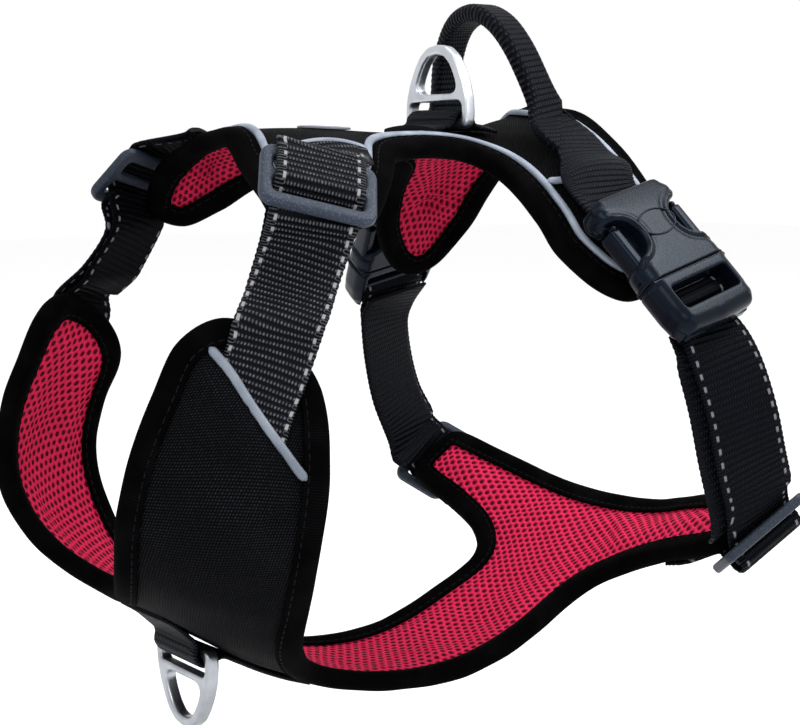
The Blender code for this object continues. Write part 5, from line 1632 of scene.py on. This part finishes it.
def strap_rows(back, front, side):
    """Each strap's run of webbing by its node's name, side 1 on the left and -1 on the right."""
    def placed(rows):
        return rows if side > 0 else mirror_rows(rows)

    slider, buckle, belly = (Frame(*at) for at in (NECK_SLIDER_AT, BUCKLE_AT, BELLY_SLIDER_AT))
    over = (slider if side > 0 else slider.mirrored(RIGHT_SLIDER_MOVE)).rows(OVER_NECK_SLIDER)
    lower = pocket_rows(front, side)
    neck = np.vstack([on_cloth(back.drape, NECK_STRAP_START, side), over,
                      placed(table_rows(NECK_FREE)), lower])
    free = table_rows(GIRTH_FREE)
    girth = np.vstack([placed(buckle.rows(THROUGH_PLUG)), placed(free),
                       placed(belly.rows(ROUND_BELLY_SLIDER)),
                       on_cloth(front.drape, GIRTH_STRAP_END, side)])
    neck_inner = np.vstack([slider.rows(NECK_INNER_START), table_rows(NECK_INNER)])
    to_pocket = placed(lower[:1]) - neck_inner[-1]
    neck_inner = np.vstack([neck_inner, neck_inner[-1] + INNER_END * to_pocket])
    neck_inner = placed(shifted(neck_inner, NECK_INNER_GAP, 0.0))
    free = np.vstack([buckle.rows(GIRTH_INNER_START), free, belly.rows(GIRTH_INNER_END)])
    beside = shifted(free, GIRTH_INNER_GAP, GIRTH_INNER_AHEAD)
    share = np.minimum(np.arange(len(free)) / GIRTH_INNER_EASE, 1.0)[:, None]
    girth_inner = placed(shifted(free, GIRTH_INNER_GAP, 0.0) * (1 - share) + beside * share)
    return {"neck_strap": neck, "girth_strap": girth, "neck_strap_inner": neck_inner,
            "girth_strap_inner": girth_inner}


def strap_pieces(back, front, finishes):
    """Neck and girth straps. The near neck strap takes the most light, inner layers the least."""
    for name, side in SIDES:
        for kind, rows in strap_rows(back, front, side).items():
            tone = {"girth_strap_inner": "webbing_back", "neck_strap_inner": "webbing_inner"}.get(
                kind, "webbing_lit" if (name, kind) == ("left", "neck_strap") else "webbing")
            webbing(f"{name}_{kind}_webbing", softened(fine_rows(rows), 1, 1), finishes[tone],
                    stands_for=(f"{name}_{kind}",), slot="webbing")


def handle_pieces(back, finishes):
    """The grab handle: flat webbing from each buckle, folded into a grip over the back."""
    entry = Frame(*BUCKLE_AT).rows(HANDLE_FROM_SOCKET)
    left = np.vstack([entry, on_cloth(back.drape, HANDLE_FLAT)])
    right = np.vstack([mirror_rows(entry), on_cloth(back.drape, HANDLE_FLAT, -1)])
    right = right[::-1, [6, 7, 8, 3, 4, 5, 0, 1, 2, 9]]
    rows = softened(fine_rows(np.vstack([left, table_rows(HANDLE), right])), 2, 2)
    width = np.linalg.norm(rows[:, 6:9] - rows[:, 0:3], axis=1)
    place = lengths(rows[:, 3:6])
    narrow = place[width < NARROW]
    ahead = np.minimum(place - narrow[0], narrow[-1] - place)
    ends, shares = np.array(FOLD_ENDS).T
    fold = np.clip((np.interp(ahead, ends, shares) + 1) / FOLD_SPAN, 0, 1)
    gap = ahead - ends[0]
    pull, reach_after, reach_before = PINCH
    pinch = pull * np.exp(-(gap / np.where(gap > 0, reach_after, reach_before)) ** 2)
    rows[:, 0:3] += pinch[:, None] * (rows[:, 3:6] - rows[:, 0:3])
    webbing("grab_handle_webbing", rows, finishes["webbing_plain"], fold=fold,
            stands_for=("handle",), slot="webbing")


def loop_pieces(back, front, finishes):
    """The webbing of both rings. Returns the middle of the chest ring's bar."""
    rearwards, up = np.array([0.0, 1.0, 0.0]), np.array([0.0, 0.0, 1.0])
    bump = webbing_rows(loop_over(np.array(BACK_RING_AT), rearwards, up, BACK_LOOP_REST),
                        (1, 0, 0))
    ends = on_cloth(back.drape, [(0, reach, BACK_LOOP_END_HIGH, 0, 1, 1, 0)
                                 for reach in (-BACK_LOOP_REACH, BACK_LOOP_REACH)])
    rows = fine_rows(np.vstack([ends[:1], bump, ends[1:]]))
    webbing("back_ring_webbing", rows, finishes["webbing_plain"],
            stands_for=("back_ring_loop",), slot="webbing")
    place = np.array([[0.0, CHEST_LOOP_AT]])
    out = front.drape.normals(place)[0]
    bar = front.drape.at(place)[0] + out * LOOP_CLEAR
    along = unit(front.drape.slopes(place)[1][0])
    bump = webbing_rows(loop_over(bar, along, out, CHEST_LOOP_REST), (-1, 0, 0))
    front_end = on_cloth(front.drape, [(0, CHEST_LOOP_AT - ahead, TAPE_END_HIGH, 0, 1, -1, 0)
                                       for ahead in CHEST_TAPE_FRONT])
    steps = np.arange(CHEST_LOOP_AT + CHEST_TAPE_FRONT[-1], CHEST_TAPE_END + 1, CHEST_TAPE_STEP)
    tape = on_cloth(front.drape, [(0, b, TAPE_HIGH, 0, 1, -1, 0) for b in steps])
    rows = fine_rows(np.vstack([front_end, bump, tape]))
    webbing("chest_tape_webbing", rows, finishes["webbing_plain"],
            stands_for=("chest_tape",), slot="webbing")
    return bar


# ---------------------------------------------------------------- light, floor, camera, m
FLOOR_AT, FLOOR_HALF = -0.235, 4.0
CAMERA_AT = (0.446, -0.3397, -0.0086)
CAMERA_TURN, CAMERA_RISE = math.radians(54.0), math.radians(6.75)
FOCAL_PX, FRAME_PX, SENSOR = 1750.0, 800.0, 36.0
# name, place, where it looks, size, watts; the last gives the near buckle its sheen
LIGHTS = (
    ("key", (0.75, -1.0, 0.95), (0, 0, -0.05), (0.7, 0.7), 9.0),
    ("fill", (1.3, 0.35, 0.35), (0, 0, -0.05), (0.9, 0.7), 3.0),
    ("top", (-0.1, 0.3, 1.3), (0, 0, -0.05), (0.9, 0.7), 6.0),
    ("sheen", (0.21, 0.237, 0.345), (0.054, 0.027, -0.021), (0.2, 0.2), 1.5),
)


def area_light(name, place, spot, size, watts):
    data = bpy.data.lights.new(name, "AREA")
    data.shape, data.size, data.size_y = "RECTANGLE", size[0], size[1]
    data.energy = watts
    made = bpy.data.objects.new(name, data)
    made.location = place
    bpy.context.scene.collection.objects.link(made)
    made.rotation_euler = (Vector(spot) - made.location).to_track_quat("-Z", "Y").to_euler()


def floor():
    """A pale floor, well below the harness."""
    mesh, wide = bpy.data.meshes.new("floor"), FLOOR_HALF
    mesh.from_pydata([(-wide, -wide, 0), (wide, -wide, 0), (wide, wide, 0), (-wide, wide, 0)],
                     [], [(0, 1, 2, 3)])
    made = bpy.data.objects.new("floor", mesh)
    made.location = (0, 0, FLOOR_AT)
    bpy.context.scene.collection.objects.link(made)
    pale = Nodes("pale_floor")
    mesh.materials.append(pale.finish((0.97, 0.97, 0.97), 0.9, specular=0.1))


def studio():
    """White surroundings, four lights and the floor."""
    world = bpy.data.worlds.new("studio_white")
    bpy.context.scene.world = world
    world.use_nodes = True
    background = world.node_tree.nodes["Background"]
    background.inputs["Color"].default_value = (1.0, 1.0, 1.0, 1.0)
    background.inputs["Strength"].default_value = 1.0
    bpy.context.scene.view_settings.view_transform = "Standard"
    for light in LIGHTS:
        area_light(*light)
    floor()


def camera():
    """The photo's viewpoint: its turn round the harness and its rise over the horizon."""
    data = bpy.data.cameras.new("camera")
    data.sensor_width = SENSOR
    data.lens = FOCAL_PX / FRAME_PX * SENSOR
    data.clip_start = 0.01
    made = bpy.data.objects.new("camera", data)
    right = Vector((math.cos(CAMERA_TURN), math.sin(CAMERA_TURN), 0.0))
    back = Vector((math.sin(CAMERA_TURN) * math.cos(CAMERA_RISE),
                   -math.cos(CAMERA_TURN) * math.cos(CAMERA_RISE), math.sin(CAMERA_RISE)))
    turn = Matrix((right, back.cross(right), back)).transposed().to_4x4()
    made.matrix_world = Matrix.Translation(CAMERA_AT) @ turn
    bpy.context.scene.collection.objects.link(made)
    bpy.context.scene.camera = made


def main():
    finishes = {
        "oxford": oxford_material(),
        "front_mesh": mesh_material("air_mesh_cloth", 1.0),
        # The back lining's mesh is a copy of the same cloth darkened to 0.76 as painted shade.
        "back_mesh": mesh_material("back_air_mesh_painted_shade", 0.76),
        "binding": binding_material(),
        "piping": piping_material("reflective_piping", 0.82),
        # The pocket piping is the same reflective cloth darkened to 0.52 as painted shade.
        "pocket_piping": piping_material("pocket_piping_painted_shade", 0.52),
        "webbing": webbing_material("strap_webbing", (0.0065, 0.007, 0.0115),
                                    (0.125, 0.13, 0.14), specular=0.04),
        # The near neck strap's webbing is a copy painted lighter, with brighter crests and dashes,
        # as painted light.
        "webbing_lit": webbing_material("neck_webbing_painted_light", (0.105, 0.107, 0.118),
                                        (0.235, 0.24, 0.25)),
        "webbing_plain": webbing_material("plain_webbing", (0.016, 0.018, 0.027)),
        "webbing_back": webbing_material("webbing_back", (0.007, 0.0075, 0.010)),
        # The inner neck layer's webbing is a copy painted darker as painted shade.
        "webbing_inner": webbing_material("inner_webbing_painted_shade", (0.0030, 0.0033, 0.0055),
                                          (0.125, 0.13, 0.14), specular=0.02),
        "thread": thread_material(),
        # The near neck slider's plastic is painted paler as painted light; the other sliders share
        # a darker copy as painted shade.
        "slider": slider_material("near_slider_painted_light", (0.022, 0.028, 0.042),
                                  (0.060, 0.072, 0.095)),
        "slate_painted_shade": slider_material("far_slider_painted_shade", (0.014, 0.019, 0.028),
                                 (0.034, 0.042, 0.056)),
        "buckle": buckle_material(),
        "back_ring": ring_material("satin_aluminium", 0.92),
        "chest_ring": ring_material("shaded_aluminium", 0.62),
        "patch": patch_material(),
    }
    camera()
    studio()
    back = back_pieces(finishes)
    front = front_pieces(finishes)
    strap_pieces(back, front, finishes)
    handle_pieces(back, finishes)
    bar = loop_pieces(back, front, finishes)
    slider_pieces(finishes)
    buckle_pieces(finishes)
    ring_pieces(bar, finishes)
    badge_piece(back, finishes)


main()
